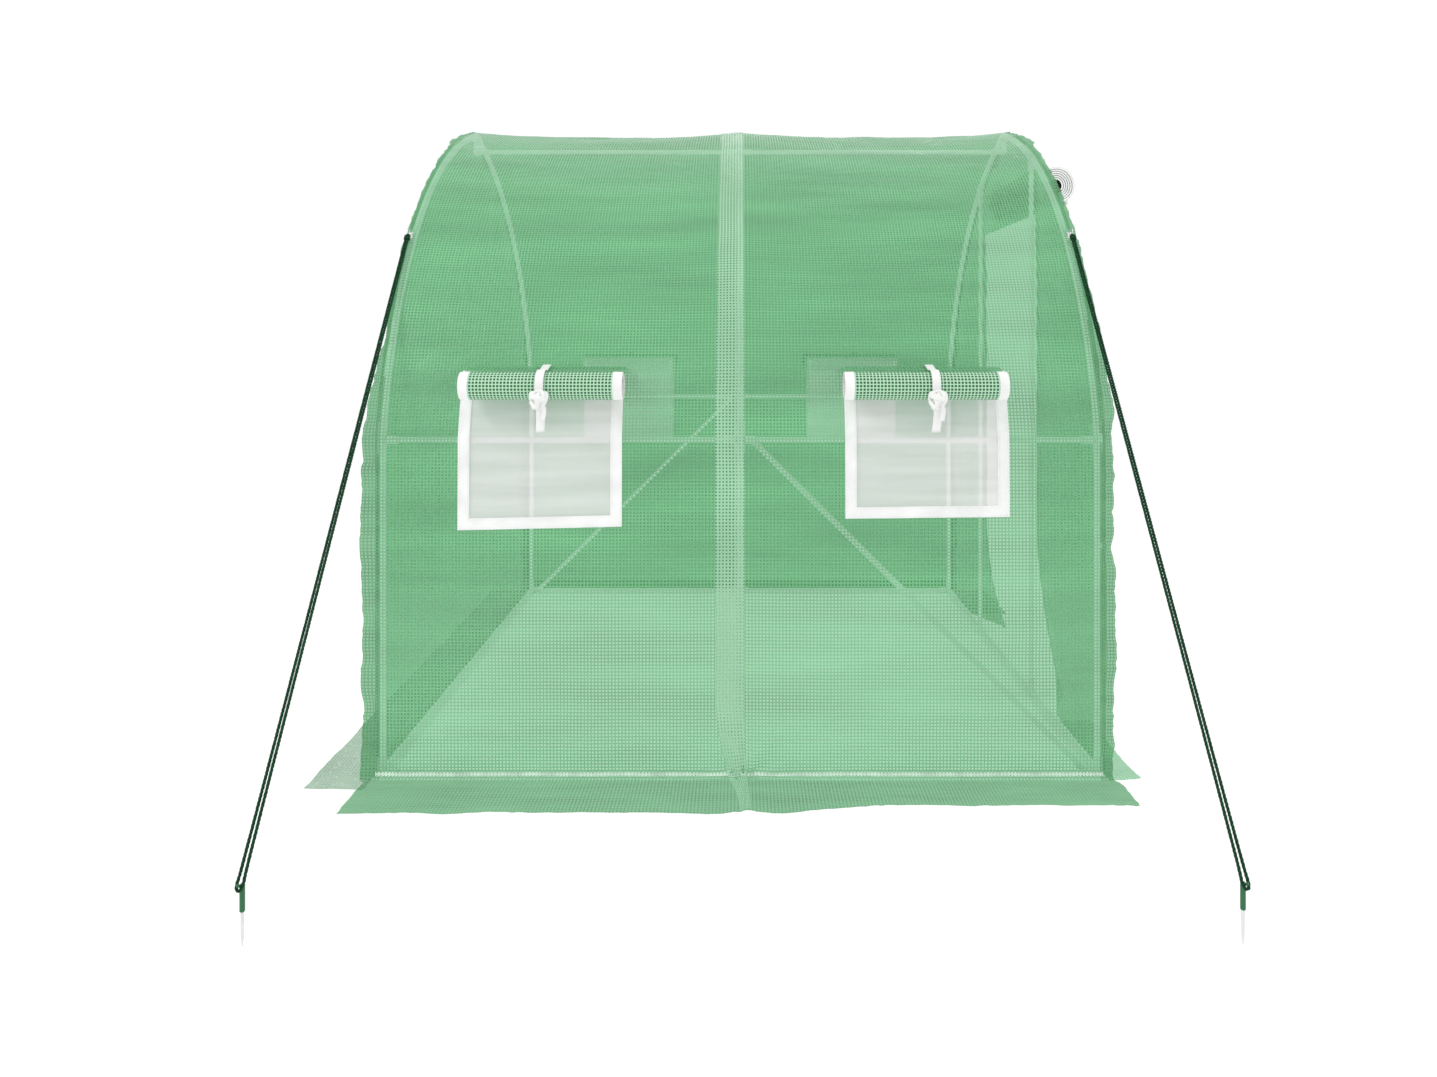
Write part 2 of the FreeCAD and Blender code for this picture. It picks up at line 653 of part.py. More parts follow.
ROPE = float(sheet.rope)
STAKES = {"closed": Vector(-1008, -1752, 0), "door": Vector(1022, -1745, 0)}
RING_HEIGHT = 1530
RING_RADIUS, RING_WIRE = 11, 3
RING_ANGLE = arc_angle_at_height(RING_HEIGHT)
STAKE_TOP = float(sheet.stake_height)
HOOK_HEIGHT = STAKE_TOP - 8
HOOK_LENGTH = 24
STRAND_GAP = ROPE / 2 + 0.5  # each strand's distance from the line's middle
LOOP_HALF = 8.0  # the same where the line opens round the hook
LOOP_OPEN = 42  # how far above the hook it opens
LOOP_STANDOFF = 14  # the loop's distance from the stake's middle, along the hook


def guy_frame(end):
    """The ring, the hook's root and direction, the loop's middle, and the line's two axes."""
    sign = 1 if end == "door" else -1
    ring = arc_point(RING_ANGLE, -1, sign * (HALF_LENGTH + 8), OFFSET + CLOTH + 14)
    root = STAKES[end] + Vector(0, 0, HOOK_HEIGHT)
    out = (root - ring).cross(X_AXIS).normalize()
    out = out if out.y < 0 else -out
    loop = root + out * LOOP_STANDOFF
    down = (loop - ring).normalize()
    across = (X_AXIS - down * X_AXIS.dot(down)).normalize()
    return ring, root, out, loop, down, across


def guy_route(end):
    """Points of the rope: down from the ring, round the stake's hook and back up."""
    ring, _, _, hook, down, across = guy_frame(end)
    top = ring + down * (RING_RADIUS + 4)
    route = []
    for sign in (-1, 1):
        strand = [
            top + across * (sign * STRAND_GAP),
            hook - down * LOOP_OPEN + across * (sign * STRAND_GAP),
            hook + down * LOOP_HALF + across * (sign * LOOP_HALF),
        ]
        route += strand if sign < 0 else strand[::-1]
    return route


def rope_path(points):
    """Straight runs joined by tangent arcs, and the arcs' radii."""
    edges, radii, at = [], [], points[0]
    for before, corner, after in zip(points, points[1:], points[2:]):
        back, ahead = (before - corner), (after - corner)
        shorter = min(back.Length, ahead.Length)
        back.normalize()
        ahead.normalize()
        half_turn = (math.pi - back.getAngle(ahead)) / 2
        reach = 0.45 * shorter
        radii.append(reach / math.tan(half_turn))
        start, end = corner + back * reach, corner + ahead * reach
        depth = reach / math.cos(math.pi / 2 - half_turn) if half_turn > 0 else 0
        centre = corner + (back + ahead).normalize() * (radii[-1] / math.cos(half_turn))
        middle = centre + (corner - centre).normalize() * radii[-1]
        edges.append(Part.LineSegment(at, start).toShape())
        edges.append(Part.Arc(start, middle, end).toShape())
        at = end
    edges.append(Part.LineSegment(at, points[-1]).toShape())
    return Part.Wire(edges), radii


def make_rope(end):
    points = guy_route(end)
    path, radii = rope_path(points)
    circle = Part.makeCircle(ROPE / 2, points[0], points[1] - points[0])
    rope = doc.addObject("Part::Feature", f"guy_rope_{end}")
    rope.Shape = path.makePipeShell([Part.Wire(circle)], True, False, 2)
    print(end, "rope", round(path.Length), "mm, arcs", [round(r, 1) for r in radii])
    print("  volume share", round(rope.Shape.Volume / (path.Length * math.pi * ROPE**2 / 4), 4))
    sub_part(rope, f"guy_rope_{end}")


def make_rings():
    """A steel ring on each line's tab, at the shoulder of an end hoop."""
    rings = []
    for end in STAKES:
        ring, _, _, _, down, across = guy_frame(end)
        place = Placement(ring, Rotation(across, down, across.cross(down), "XYZ"))
        sizes = {"Radius1": f"{RING_RADIUS}", "Radius2": f"{RING_WIRE / 2}"}
        rings.append(bound("Part::Torus", f"ring_{end}", sizes, place))
    sub_part(group("guy_rings", rings), "guy_rings")


def make_stakes():
    """Steel pins in moulded sleeves, each with a hook that points away from the cover."""
    pieces = []
    for end, foot in STAKES.items():
        _, hook, out, _, _, _ = guy_frame(end)
        sleeve_low = STAKE_TOP - float(sheet.sleeve_height)
        sleeve = rod(f"sleeve_{end}", "Sizes.stake_sleeve", "Sizes.sleeve_height", foot + Z_AXIS * sleeve_low, Z_AXIS)
        peg = rod(f"hook_{end}", "Sizes.hook", HOOK_LENGTH, hook, out)
        lip = ball(f"hook_lip_{end}", "Sizes.hook + 3", hook + out * HOOK_LENGTH)
        bore = rod(f"sleeve_bore_{end}", "Sizes.stake_pin", sleeve_low + 30, foot, Z_AXIS)
        pieces.append(cut(f"stake_head_{end}", fuse(f"stake_head_{end}_solid", [sleeve, peg, lip]), [bore]))
        pieces.append(rod(f"stake_pin_{end}", "Sizes.stake_pin - 0.1", sleeve_low + 29, foot, Z_AXIS))
    sub_part(group("guy_stakes", pieces), "guy_stakes")


for end_name in STAKES:
    make_rope(end_name)
make_rings()
make_stakes()

# ---------------------------------------------------------------- checks and files

doc.recompute()
for thing in doc.Objects:
    if {"Invalid", "Error"} & set(thing.State):
        raise RuntimeError(f"{thing.Label} failed: {thing.State}")
for node, thing in parts.items():
    if thing.Shape.isNull() or not thing.Shape.isValid() or not thing.Shape.Solids:
        raise RuntimeError(f"{node} has no valid solid")

os.makedirs("parts", exist_ok=True)
for node, thing in parts.items():
    thing.Shape.exportStep(f"parts/{node}.step")
print(len(parts), "nodes")
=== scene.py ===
"""Looks of the walk-in tunnel greenhouse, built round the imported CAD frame.

Metres, X along the tunnel towards the door, Y across it (front is -Y), Z up.
"""

import json
from math import acos, asin, atan2, ceil, copysign, cos, dist, exp, hypot, pi, radians, sin, sqrt

import bpy
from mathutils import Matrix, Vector, noise

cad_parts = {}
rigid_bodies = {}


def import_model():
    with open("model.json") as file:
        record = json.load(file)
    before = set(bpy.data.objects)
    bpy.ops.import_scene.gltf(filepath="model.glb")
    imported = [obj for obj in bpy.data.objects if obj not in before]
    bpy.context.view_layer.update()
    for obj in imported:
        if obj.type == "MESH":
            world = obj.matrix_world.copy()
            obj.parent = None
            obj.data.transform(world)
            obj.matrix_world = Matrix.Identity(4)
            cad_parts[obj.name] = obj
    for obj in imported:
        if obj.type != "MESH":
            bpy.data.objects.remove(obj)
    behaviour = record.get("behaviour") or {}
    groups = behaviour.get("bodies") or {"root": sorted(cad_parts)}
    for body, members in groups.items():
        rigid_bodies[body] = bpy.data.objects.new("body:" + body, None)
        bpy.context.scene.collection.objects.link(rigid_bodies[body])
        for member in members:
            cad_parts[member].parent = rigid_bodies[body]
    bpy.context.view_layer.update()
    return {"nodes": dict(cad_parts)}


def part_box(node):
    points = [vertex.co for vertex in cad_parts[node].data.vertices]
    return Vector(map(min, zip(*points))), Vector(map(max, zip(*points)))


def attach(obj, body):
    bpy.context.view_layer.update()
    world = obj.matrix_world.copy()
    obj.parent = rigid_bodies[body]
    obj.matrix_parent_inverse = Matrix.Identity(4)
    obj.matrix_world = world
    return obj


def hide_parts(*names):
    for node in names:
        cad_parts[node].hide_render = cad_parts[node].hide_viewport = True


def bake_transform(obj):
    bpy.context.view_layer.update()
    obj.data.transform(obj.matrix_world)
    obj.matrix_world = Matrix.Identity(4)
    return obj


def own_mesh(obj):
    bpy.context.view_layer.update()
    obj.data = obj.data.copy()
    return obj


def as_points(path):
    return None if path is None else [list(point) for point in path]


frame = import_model()
NODES = frame["nodes"]

# ---- camera

camera = bpy.data.objects.new("camera", bpy.data.cameras.new("camera"))
bpy.context.scene.collection.objects.link(camera)
camera.location = (0.0, -3.755, 1.238)
camera.rotation_euler = (radians(90), 0, 0)
camera.data.sensor_width = 36.0
camera.data.lens = 24.78
camera.data.shift_x = -0.015
camera.data.shift_y = -0.142
camera.data.clip_start = 0.05
camera.data.clip_end = 100.0
bpy.context.scene.camera = camera

# ---- helpers


def lerp(a, b, t):
    return a + (b - a) * t


def smooth(t):
    t = min(1.0, max(0.0, t))
    return t * t * (3 - 2 * t)


def wave(*at, seed=0.0):
    """Smooth noise from -1 to 1."""
    x, y, z = (list(at) + [0.0, 0.0])[:3]
    return noise.noise(Vector((x + seed * 7.31, y - seed * 3.17, z + seed * 5.71)))


def spread(keys, step):
    """The key values and evenly spaced ones between them, no further apart than step."""
    found = [keys[0]]
    for low, high in zip(keys, keys[1:]):
        count = max(1, ceil((high - low) / step - 1e-6))
        found += [lerp(low, high, n / count) for n in range(1, count + 1)]
    return found


def new_object(name, verts, faces, material, uvs=None):
    """A smooth-shaded mesh object; uvs has one pair of metres for each vertex."""
    mesh = bpy.data.meshes.new(name)
    mesh.from_pydata(verts, [], faces)
    mesh.materials.append(material)
    if uvs:
        layer = mesh.uv_layers.new(name="UVMap")
        for loop in mesh.loops:
            layer.data[loop.index].uv = uvs[loop.vertex_index]
    for polygon in mesh.polygons:
        polygon.use_smooth = True
    mesh.update()
    obj = bpy.data.objects.new(name, mesh)
    bpy.context.scene.collection.objects.link(obj)
    return obj


def place(piece, body, slot, *stands_for):
    """Puts a piece on the body it rides on and hides the CAD nodes it stands for; slot, its colour slot, is
    not used.
    """
    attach(piece, body)
    if stands_for:
        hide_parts(*stands_for)


def rows_joined(rows, wide, capped=True):
    """Faces round a tube whose rows of wide vertices follow each other, with its two ends."""
    faces = []
    for n in range(rows - 1):
        for k in range(wide):
            a, b = n * wide + k, n * wide + (k + 1) % wide
            faces.append((a, b, b + wide, a + wide))
    if capped:
        faces.append(tuple(range(wide))[::-1])
        faces.append(tuple((rows - 1) * wide + k for k in range(wide)))
    return faces


def running_lengths(points):
    """The distance along the line to each of its points."""
    found = [0.0]
    for a, b in zip(points, points[1:]):
        found.append(found[-1] + dist(a, b))
    return found


def surface(name, us, vs, point, material, uv=lambda u, v: (u, v), keep=None):
    """A sheet through point(u, v); keep(u, v) says which cells stay, by their middles."""
    verts = [point(u, v) for u in us for v in vs]
    uvs = [uv(u, v) for u in us for v in vs]
    faces = []
    wide = len(vs)
    for i in range(len(us) - 1):
        for j in range(len(vs) - 1):
            if keep is None or keep((us[i] + us[i + 1]) / 2, (vs[j] + vs[j + 1]) / 2):
                a = i * wide + j
                faces.append((a, a + wide, a + wide + 1, a + 1))
    used = sorted({v for f in faces for v in f})
    if len(used) < len(verts):
        order = {old: new for new, old in enumerate(used)}
        verts = [verts[v] for v in used]
        uvs = [uvs[v] for v in used]
        faces = [tuple(order[v] for v in f) for f in faces]
    return new_object(name, verts, faces, material, uvs)


def frames_along(points):
    """Each point with two directions across the line there, turned as little as possible."""
    points = [Vector(p) for p in points]
    ways = []
    for n in range(len(points)):
        ways.append((points[min(n + 1, len(points) - 1)] - points[max(n - 1, 0)]).normalized())
    side = ways[0].orthogonal().normalized()
    found = []
    for point, way in zip(points, ways):
        side = (side - way * side.dot(way)).normalized()
        found.append((point, side, way.cross(side)))
    return found


def tube_mesh(points, radius, sides=8, capped=True):
    """Vertices and faces of a tube; radius is a number or a function of 0 to 1 along it."""
    verts = []
    frames = frames_along(points)
    for n, (point, a, b) in enumerate(frames):
        r = radius(n / (len(frames) - 1)) if callable(radius) else radius
        for k in range(sides):
            turn = 2 * pi * k / sides
            verts.append(point + (a * cos(turn) + b * sin(turn)) * r)
    return verts, rows_joined(len(frames), sides, capped)


def joined(parts):
    """Several (verts, faces) pairs as one."""
    verts, faces = [], []
    for more_verts, more_faces in parts:
        base = len(verts)
        verts += list(more_verts)
        faces += [tuple(base + v for v in f) for f in more_faces]
    return verts, faces


def lathe(profile, base, sides=20):
    """Verts and faces of a turned shape; profile is (radius, height) from the bottom up."""
    verts = []
    base = Vector(base)
    for radius, height in profile:
        for k in range(sides):
            turn = 2 * pi * k / sides
            verts.append(base + Vector((radius * cos(turn), radius * sin(turn), height)))
    return verts, rows_joined(len(profile), sides)


# ---- materials


class Nodes:
    """A material's node tree with short ways to add to it."""

    def __init__(self, name, **inputs):
        self.material = bpy.data.materials.new(name)
        self.material.use_nodes = True
        self.tree = self.material.node_tree
        self.shader = self.tree.nodes["Principled BSDF"]
        self.output = self.tree.nodes["Material Output"]
        for key, value in inputs.items():
            self.shader.inputs[key.replace("_", " ")].default_value = value

    def add(self, kind, **settings):
        node = self.tree.nodes.new(kind)
        for key, value in settings.items():
            if hasattr(node, key):
                setattr(node, key, value)
            else:
                node.inputs[key.replace("_", " ")].default_value = value
        return node

    def link(self, source, target):
        self.tree.links.new(source, target)

    def math(self, operation, a, b=0.0):
        node = self.add("ShaderNodeMath", operation=operation)
        for socket, value in zip(node.inputs, (a, b)):
            if isinstance(value, (int, float)):
                socket.default_value = value
            else:
                self.link(value, socket)
        return node.outputs[0]

    def ramp(self, factor, low, high, start=0.0, end=1.0):
        """A colour that goes from low to high as factor goes from start to end."""
        node = self.add("ShaderNodeValToRGB")
        ends = node.color_ramp.elements
        ends[0].position, ends[1].position = start, end
        ends[0].color, ends[1].color = (*low, 1), (*high, 1)
        self.link(factor, node.inputs[0])
        return node.outputs[0]

    def noise(self, scale, detail=3.0, vector=None, roughness=0.5):
        node = self.add("ShaderNodeTexNoise", Scale=scale, Detail=detail, Roughness=roughness)
        if vector is not None:
            self.link(vector, node.inputs["Vector"])
        return node.outputs["Fac"]

    def coordinates(self, kind="Object"):
        return self.add("ShaderNodeTexCoord").outputs[kind]

    def bump(self, height, distance, strength=1.0):
        node = self.add("ShaderNodeBump", Strength=strength, Distance=distance)
        self.link(height, node.inputs["Height"])
        self.link(node.outputs["Normal"], self.shader.inputs["Normal"])

    def colour(self, socket):
        self.link(socket, self.shader.inputs["Base Color"])

    def stretched(self, vector, scale):
        mapping = self.add("ShaderNodeMapping")
        mapping.inputs["Scale"].default_value = scale
        self.link(vector, mapping.inputs["Vector"])
        return mapping.outputs["Vector"]

    def blended(self, factor, colour, other):
        """colour turning into other; each is a socket or a plain colour."""
        node = self.add("ShaderNodeMix", data_type="RGBA")
        self.link(factor, node.inputs["Factor"])
        for socket, value in ((node.inputs[6], colour), (node.inputs[7], other)):
            if isinstance(value, tuple):
                socket.default_value = (*value, 1)
            else:
                self.link(value, socket)
        return node.outputs[2]

    def see_through(self, tint, cover):
        """Lets what is behind show, tinted, where cover is below 1."""
        clear = self.add("ShaderNodeBsdfTransparent")
        clear.inputs["Color"].default_value = (*tint, 1)
        mix = self.add("ShaderNodeMixShader")
        self.link(cover, mix.inputs["Fac"])
        self.link(clear.outputs[0], mix.inputs[1])
        self.link(self.shader.outputs[0], mix.inputs[2])
        self.link(mix.outputs[0], self.output.inputs["Surface"])


def tape_grid(nodes, vector, pitch, share):
    """1 on the woven tapes of the film's grid and 0 in its cells, and a height for the bump."""
    split = nodes.add("ShaderNodeSeparateXYZ")
    nodes.link(vector, split.inputs[0])
    masks, heights = [], []
    for axis in ("X", "Y"):
        across = nodes.math("FRACT", nodes.math("MULTIPLY", split.outputs[axis], 1.0 / pitch))
        away = nodes.math("ABSOLUTE", nodes.math("SUBTRACT", across, 0.5))
        masks.append(nodes.math("LESS_THAN", away, share / 2))
        heights.append(nodes.math("SUBTRACT", 0.5, away))
    return nodes.math("MAXIMUM", *masks), nodes.math("MAXIMUM", *heights)


def film_material(name, tape, cell, clear_tape=0.12, share=0.40,
                  fold_shade_scale=(1.5, 9.0), coat=0.35, glint_amount=0.5, glint_above=1.84):
    """Clear green film laid over a grid of woven tapes.

    tape is the tapes' own colour, cell the tint of what shows through between them,
    and clear_tape how much of what is behind shows through a tape. fold_shade_scale gives
    the spacing along each axis of the painted shade of the folds, glint_amount how many
    white streaks of painted glint there are, and glint_above the height they start from.
    """
    n = Nodes(name, Roughness=0.3 if coat else 0.6, IOR=1.5 if coat else 1.3,
              Coat_Weight=coat, Coat_Roughness=0.12)
    vector = n.coordinates("UV")
    mask, height = tape_grid(n, vector, GRID, share)
    # Painted shade of the folds: noise stretched along the folds darkens and lightens the tapes in bands,
    # mixed with a fine random tone.
    patches = n.noise(1.0, 4.0, n.stretched(vector, (*fold_shade_scale, 1)))
    fine = n.noise(900.0, 2.0, vector)
    dark = tuple(c * 0.74 for c in tape)
    light = tuple(min(1.0, c * 1.26) for c in tape)
    mixed = n.math("ADD", n.math("MULTIPLY", patches, 0.7), n.math("MULTIPLY", fine, 0.3))
    shade = n.ramp(mixed, dark, light, 0.3, 0.7)
    crinkle = n.noise(38.0, 4.0, vector, 0.6)
    # Painted glints: thin white streaks along noise ridges, above a set height, stand in for light caught
    # by the film's creases, and the film is opaque under them.
    ridges = n.math("ABSOLUTE", n.math("SUBTRACT", n.noise(19.0, 3.0, vector, 0.7), 0.5))
    thin = n.math("LESS_THAN", ridges, 0.006)
    where = n.math("GREATER_THAN", n.noise(4.0, 2.0, vector), 0.68 - 0.16 * glint_amount)
    high = n.add("ShaderNodeSeparateXYZ")
    n.link(n.coordinates("Object"), high.inputs[0])
    above = n.math("GREATER_THAN", high.outputs["Z"], glint_above)
    painted_glint = n.math("MULTIPLY", n.math("MULTIPLY", thin, where), n.math("MULTIPLY", above, 0.5))
    n.colour(n.blended(painted_glint, shade, (0.80, 0.90, 0.82)))
    n.bump(n.math("ADD", n.math("MULTIPLY", height, 0.0022), n.math("MULTIPLY", crinkle, 0.006)), 1.0, 0.55)
    gloss = 0.10  # how much of the film's own surface shows over a cell
    cover = n.math("ADD", n.math("MULTIPLY", mask, 1.0 - clear_tape - gloss), gloss)
    n.see_through(cell, n.math("MAXIMUM", cover, painted_glint))
    return n.material


GRID = 0.0095
TAPE, CELL = (0.155, 0.435, 0.212), (0.43, 0.68, 0.50)
film = film_material("film_green", TAPE, CELL)
film_end = film_material("film_green_end", TAPE, CELL, fold_shade_scale=(7.0, 0.8))
film_pulled = film_material("film_green_pulled", TAPE, CELL, glint_amount=0.0)
film_folded = film_material(
    "film_green_folded", (0.140, 0.365, 0.180), (0.32, 0.54, 0.38), 0.06, 0.40, fold_shade_scale=(3.0, 14.0), coat=0.0
)
film_laid = film_material(
    "film_green_laid", (0.25, 0.39, 0.28), (0.50, 0.61, 0.52), 0.10, 0.40, fold_shade_scale=(6.0, 6.0), coat=0.0,
    glint_amount=2.2, glint_above=-1.0
)
band_film = film_material(
    "band_green", (0.33, 0.58, 0.39), (0.60, 0.80, 0.65), 0.10, 0.50, fold_shade_scale=(3.0, 2.0), glint_amount=1.0
)
seam_film = film_material(
    "seam_green", (0.56, 0.74, 0.60), (0.80, 0.92, 0.83), 0.10, 0.55, fold_shade_scale=(20.0, 4.0), glint_amount=0.0
)


def roll_material():
    """Film wound on itself: pale tapes over cells painted nearly black, partly the deep tint of its many
    layers and partly painted shade of the roll's inside.
    """
    n = Nodes("film_roll", Roughness=0.32, Coat_Weight=0.4, Coat_Roughness=0.12)
    vector = n.coordinates("UV")
    mask, height = tape_grid(n, vector, GRID, 0.36)
    pale = n.ramp(n.noise(700.0, 2.0, vector), (0.33, 0.62, 0.39), (0.45, 0.78, 0.52), 0.3, 0.7)
    # The near-black cells are partly painted shade of the roll's inside and partly the tint of its many
    # layers.
    n.colour(n.blended(mask, (0.012, 0.075, 0.022), pale))
    n.bump(n.math("MULTIPLY", height, 0.003), 1.0, 0.6)
    return n.material


film_roll = roll_material()


def tape_material(name, colour, weave=0.0018, rough=0.6):
    """Woven white tape: a fine twill with slight soiling."""
    n = Nodes(name, Roughness=rough, Sheen_Weight=0.15)
    vector = n.coordinates("UV")
    waves = n.add("ShaderNodeTexWave", Scale=0.16 / weave, Distortion=0.4)
    waves.bands_direction = "DIAGONAL"
    n.link(vector, waves.inputs["Vector"])
    patches = n.noise(14.0, 4.0, vector)
    low = tuple(c * 0.90 for c in colour)
    n.colour(n.ramp(patches, low, colour, 0.35, 0.65))
    n.bump(waves.outputs["Fac"], 0.0006, 0.5)
    return n.material


tape_white = tape_material("tape_white", (0.90, 0.91, 0.90))
strap_white = tape_material("strap_white", (0.88, 0.89, 0.87), 0.0012, 0.5)


def net_material():
    """Fine white insect net, frosted by its many threads."""
    n = Nodes("net_white", Roughness=0.55)
    vector = n.coordinates("UV")
    mask, height = tape_grid(n, vector, 0.0016, 0.36)
    patches = n.noise(1.0, 3.0, n.stretched(vector, (2.0, 26.0, 1)))
    n.colour(n.ramp(patches, (0.64, 0.66, 0.64), (0.75, 0.76, 0.75), 0.35, 0.65))
    n.bump(n.math("MULTIPLY", height, 0.0004), 1.0, 0.4)
    n.see_through((0.86, 0.88, 0.86), n.math("ADD", n.math("MULTIPLY", mask, 0.26), 0.62))
    return n.material


net_white = net_material()


def plain_material(name, colour, rough, metal=0.0, grain=400.0, depth=0.0001):
    """Moulded, coated or bare metal surface with a fine grain and slight unevenness."""
    n = Nodes(name, Roughness=rough, Metallic=metal)
    vector = n.coordinates("Object")
    patches = n.noise(7.0, 4.0, vector)
    low = tuple(c * 0.94 for c in colour)
    high = tuple(min(1.0, c * 1.06) for c in colour)
    n.colour(n.ramp(patches, low, high, 0.3, 0.7))
    low_rough, high_rough = (max(0.05, rough - 0.08),) * 3, (min(1.0, rough + 0.08),) * 3
    n.link(n.ramp(patches, low_rough, high_rough, 0.3, 0.7), n.shader.inputs["Roughness"])
    n.bump(n.noise(grain, 2.0, vector), depth, 0.6)
    return n.material


frame_white = plain_material("frame_white", (0.84, 0.85, 0.84), 0.32, grain=260.0, depth=0.00015)
connector_white = plain_material("connector_white", (0.80, 0.81, 0.80), 0.45, grain=700.0)
screw_steel = plain_material("screw_steel", (0.62, 0.63, 0.64), 0.30, 1.0, 900.0, 0.00005)
slider_steel = plain_material("slider_steel", (0.70, 0.71, 0.72), 0.28, 1.0, 900.0, 0.00005)
ring_steel = plain_material("ring_steel", (0.66, 0.67, 0.68), 0.26, 1.0, 900.0, 0.00005)
pin_steel = plain_material("pin_steel", (0.74, 0.75, 0.76), 0.34, 0.6, 900.0, 0.00005)
stake_green = plain_material("stake_green", (0.012, 0.13, 0.045), 0.38, grain=800.0)
zip_white = tape_material("zip_white", (0.86, 0.88, 0.86), 0.0016)
teeth_white = plain_material("teeth_white", (0.84, 0.86, 0.84), 0.35, grain=1200.0)
shade_green = plain_material("film_inner_shade", (0.004, 0.014, 0.007), 0.9, grain=120.0, depth=0.001)


def rope_material():
    n = Nodes("rope_green", Roughness=0.85, Specular_IOR_Level=0.2)
    vector = n.coordinates("Object")
    fibres = n.noise(420.0, 5.0, vector)
    n.colour(n.ramp(fibres, (0.001, 0.022, 0.008), (0.012, 0.085, 0.032), 0.35, 0.68))
    n.bump(n.noise(1500.0, 3.0, vector), 0.0004, 0.6)
    return n.material


rope_green = rope_material()

# ---- guy ropes

ROPE_STEP = 0.0035
ROPE_LAY = 0.026  # one full turn of the strands
STRAND_OFFSET, STRAND_RADIUS = 0.0018, 0.0020
ROPE_ROUTES = {
    "closed": [
        (-1.0115, -0.75596, 1.53718),
        (-1.0115, -1.73905, 0.16023),
        (-1.0160, -1.76811, 0.11953),
        (-1.0000, -1.76811, 0.11953),
        (-1.0045, -1.73905, 0.16023),
        (-1.0045, -0.75596, 1.53718),
    ],
    "door": [
        (1.00462, -0.75593, 1.53713),
        (1.01816, -1.73221, 0.16024),
        (1.01406, -1.76115, 0.11943),
        (1.03006, -1.76108, 0.11953),
        (1.02516, -1.73218, 0.16029),
        (1.01162, -0.7559, 1.53718),
    ],
}


def spline_points(name, route, resolution):
    """Points along the route's own smooth spline."""
    data = bpy.data.curves.new(name, "CURVE")
    data.dimensions = "3D"
    spline = data.splines.new("NURBS")
    spline.points.add(len(route) - 1)
    for point, at in zip(spline.points, route):
        point.co = (*at, 1)
    spline.order_u = 3
    spline.use_endpoint_u = True
    spline.resolution_u = resolution
    holder = bpy.data.objects.new(name, data)
    mesh = bpy.data.meshes.new_from_object(holder)
    found = [v.co.copy() for v in mesh.vertices]
    bpy.data.objects.remove(holder)
    bpy.data.curves.remove(data)
    bpy.data.meshes.remove(mesh)
    return found


def evenly(points, step):
    """The same line with points a step apart."""
    found, left = [points[0]], step
    for a, b in zip(points, points[1:]):
        length = (b - a).length
        while length >= left:
            a = a.lerp(b, left / length)
            found.append(a)
            length = (b - a).length
            left = step
        left -= length
    return found + [points[-1]]


def make_rope(end):
    """A guy line of three twisted strands, with its length and its centreline."""
    line = spline_points(f"route_{end}", ROPE_ROUTES[end], 48)
    length = running_lengths(line)[-1]
    frames = frames_along(evenly(line, ROPE_STEP))
    strands = []
    for strand in range(3):
        turned = []
        for n, (point, a, b) in enumerate(frames):
            turn = 2 * pi * (n * ROPE_STEP / ROPE_LAY + strand / 3)
            turned.append(point + (a * cos(turn) + b * sin(turn)) * STRAND_OFFSET)
        strands.append(tube_mesh(turned, STRAND_RADIUS, 5))
    rope = new_object(f"guy_rope_{end}_twisted", *joined(strands), rope_green)
    place(rope, "root", "rope_green", f"guy_rope_{end}")
    return rope, length, [tuple(p) for p in evenly(line, 0.01)]


ropes = {end: make_rope(end) for end in ROPE_ROUTES}

# ---- the cover's shape

ARC_RADIUS, ARC_Y, ARC_Z = 1.31917, -0.30620, 0.70485  # the rafter's arc, on the +Y side
OFFSET = 0.0155  # from the tubes' axes to the cover
EAVES = 0.950
OUTER = ARC_RADIUS + OFFSET
RIDGE_ANGLE = acos(-ARC_Y / OUTER)
EAVES_ANGLE = asin((EAVES - ARC_Z) / OUTER)
WALL_Y = ARC_Y + OUTER * cos(EAVES_ANGLE)
ROOF_RUN = OUTER * (RIDGE_ANGLE - EAVES_ANGLE)
FOOT = 0.014  # radius of the bend where the wall meets the ground
WALL_RUN = EAVES - FOOT - 0.003
BEND_RUN = FOOT * pi / 2
SKIRT_RUN = 0.194
HALF_RUN = ROOF_RUN + WALL_RUN + BEND_RUN + SKIRT_RUN
DOOR_X, DOOR_Z = 1.092, 1.752  # the door roll's middle
SIDES = {-1: "front", 1: "back"}


def roof_run_at(z):
    """Distance from the ridge down the cover to this height."""
    if z < EAVES:
        return ROOF_RUN + EAVES - z
    return OUTER * (RIDGE_ANGLE - asin((z - ARC_Z) / OUTER))


def profile(run):
    """Point and outward direction in Y and Z on the +Y side, this far down from the ridge."""
    if run < ROOF_RUN:
        angle = RIDGE_ANGLE - run / OUTER
        ny, nz = cos(angle) * smooth(run / 0.12), sin(angle)
        size = hypot(ny, nz)
        return ARC_Y + OUTER * cos(angle), ARC_Z + OUTER * sin(angle), ny / size, nz / size
    run -= ROOF_RUN
    if run < WALL_RUN:
        return WALL_Y, EAVES - run, 1.0, 0.0
    run -= WALL_RUN
    if run < BEND_RUN:
        turn = run / FOOT
        y = WALL_Y + FOOT * (1 - cos(turn))
        z = 0.003 + FOOT * (1 - sin(turn))
        return y, z, cos(turn), sin(turn)
    return WALL_Y + FOOT + run - BEND_RUN, 0.003, 0.0, 1.0


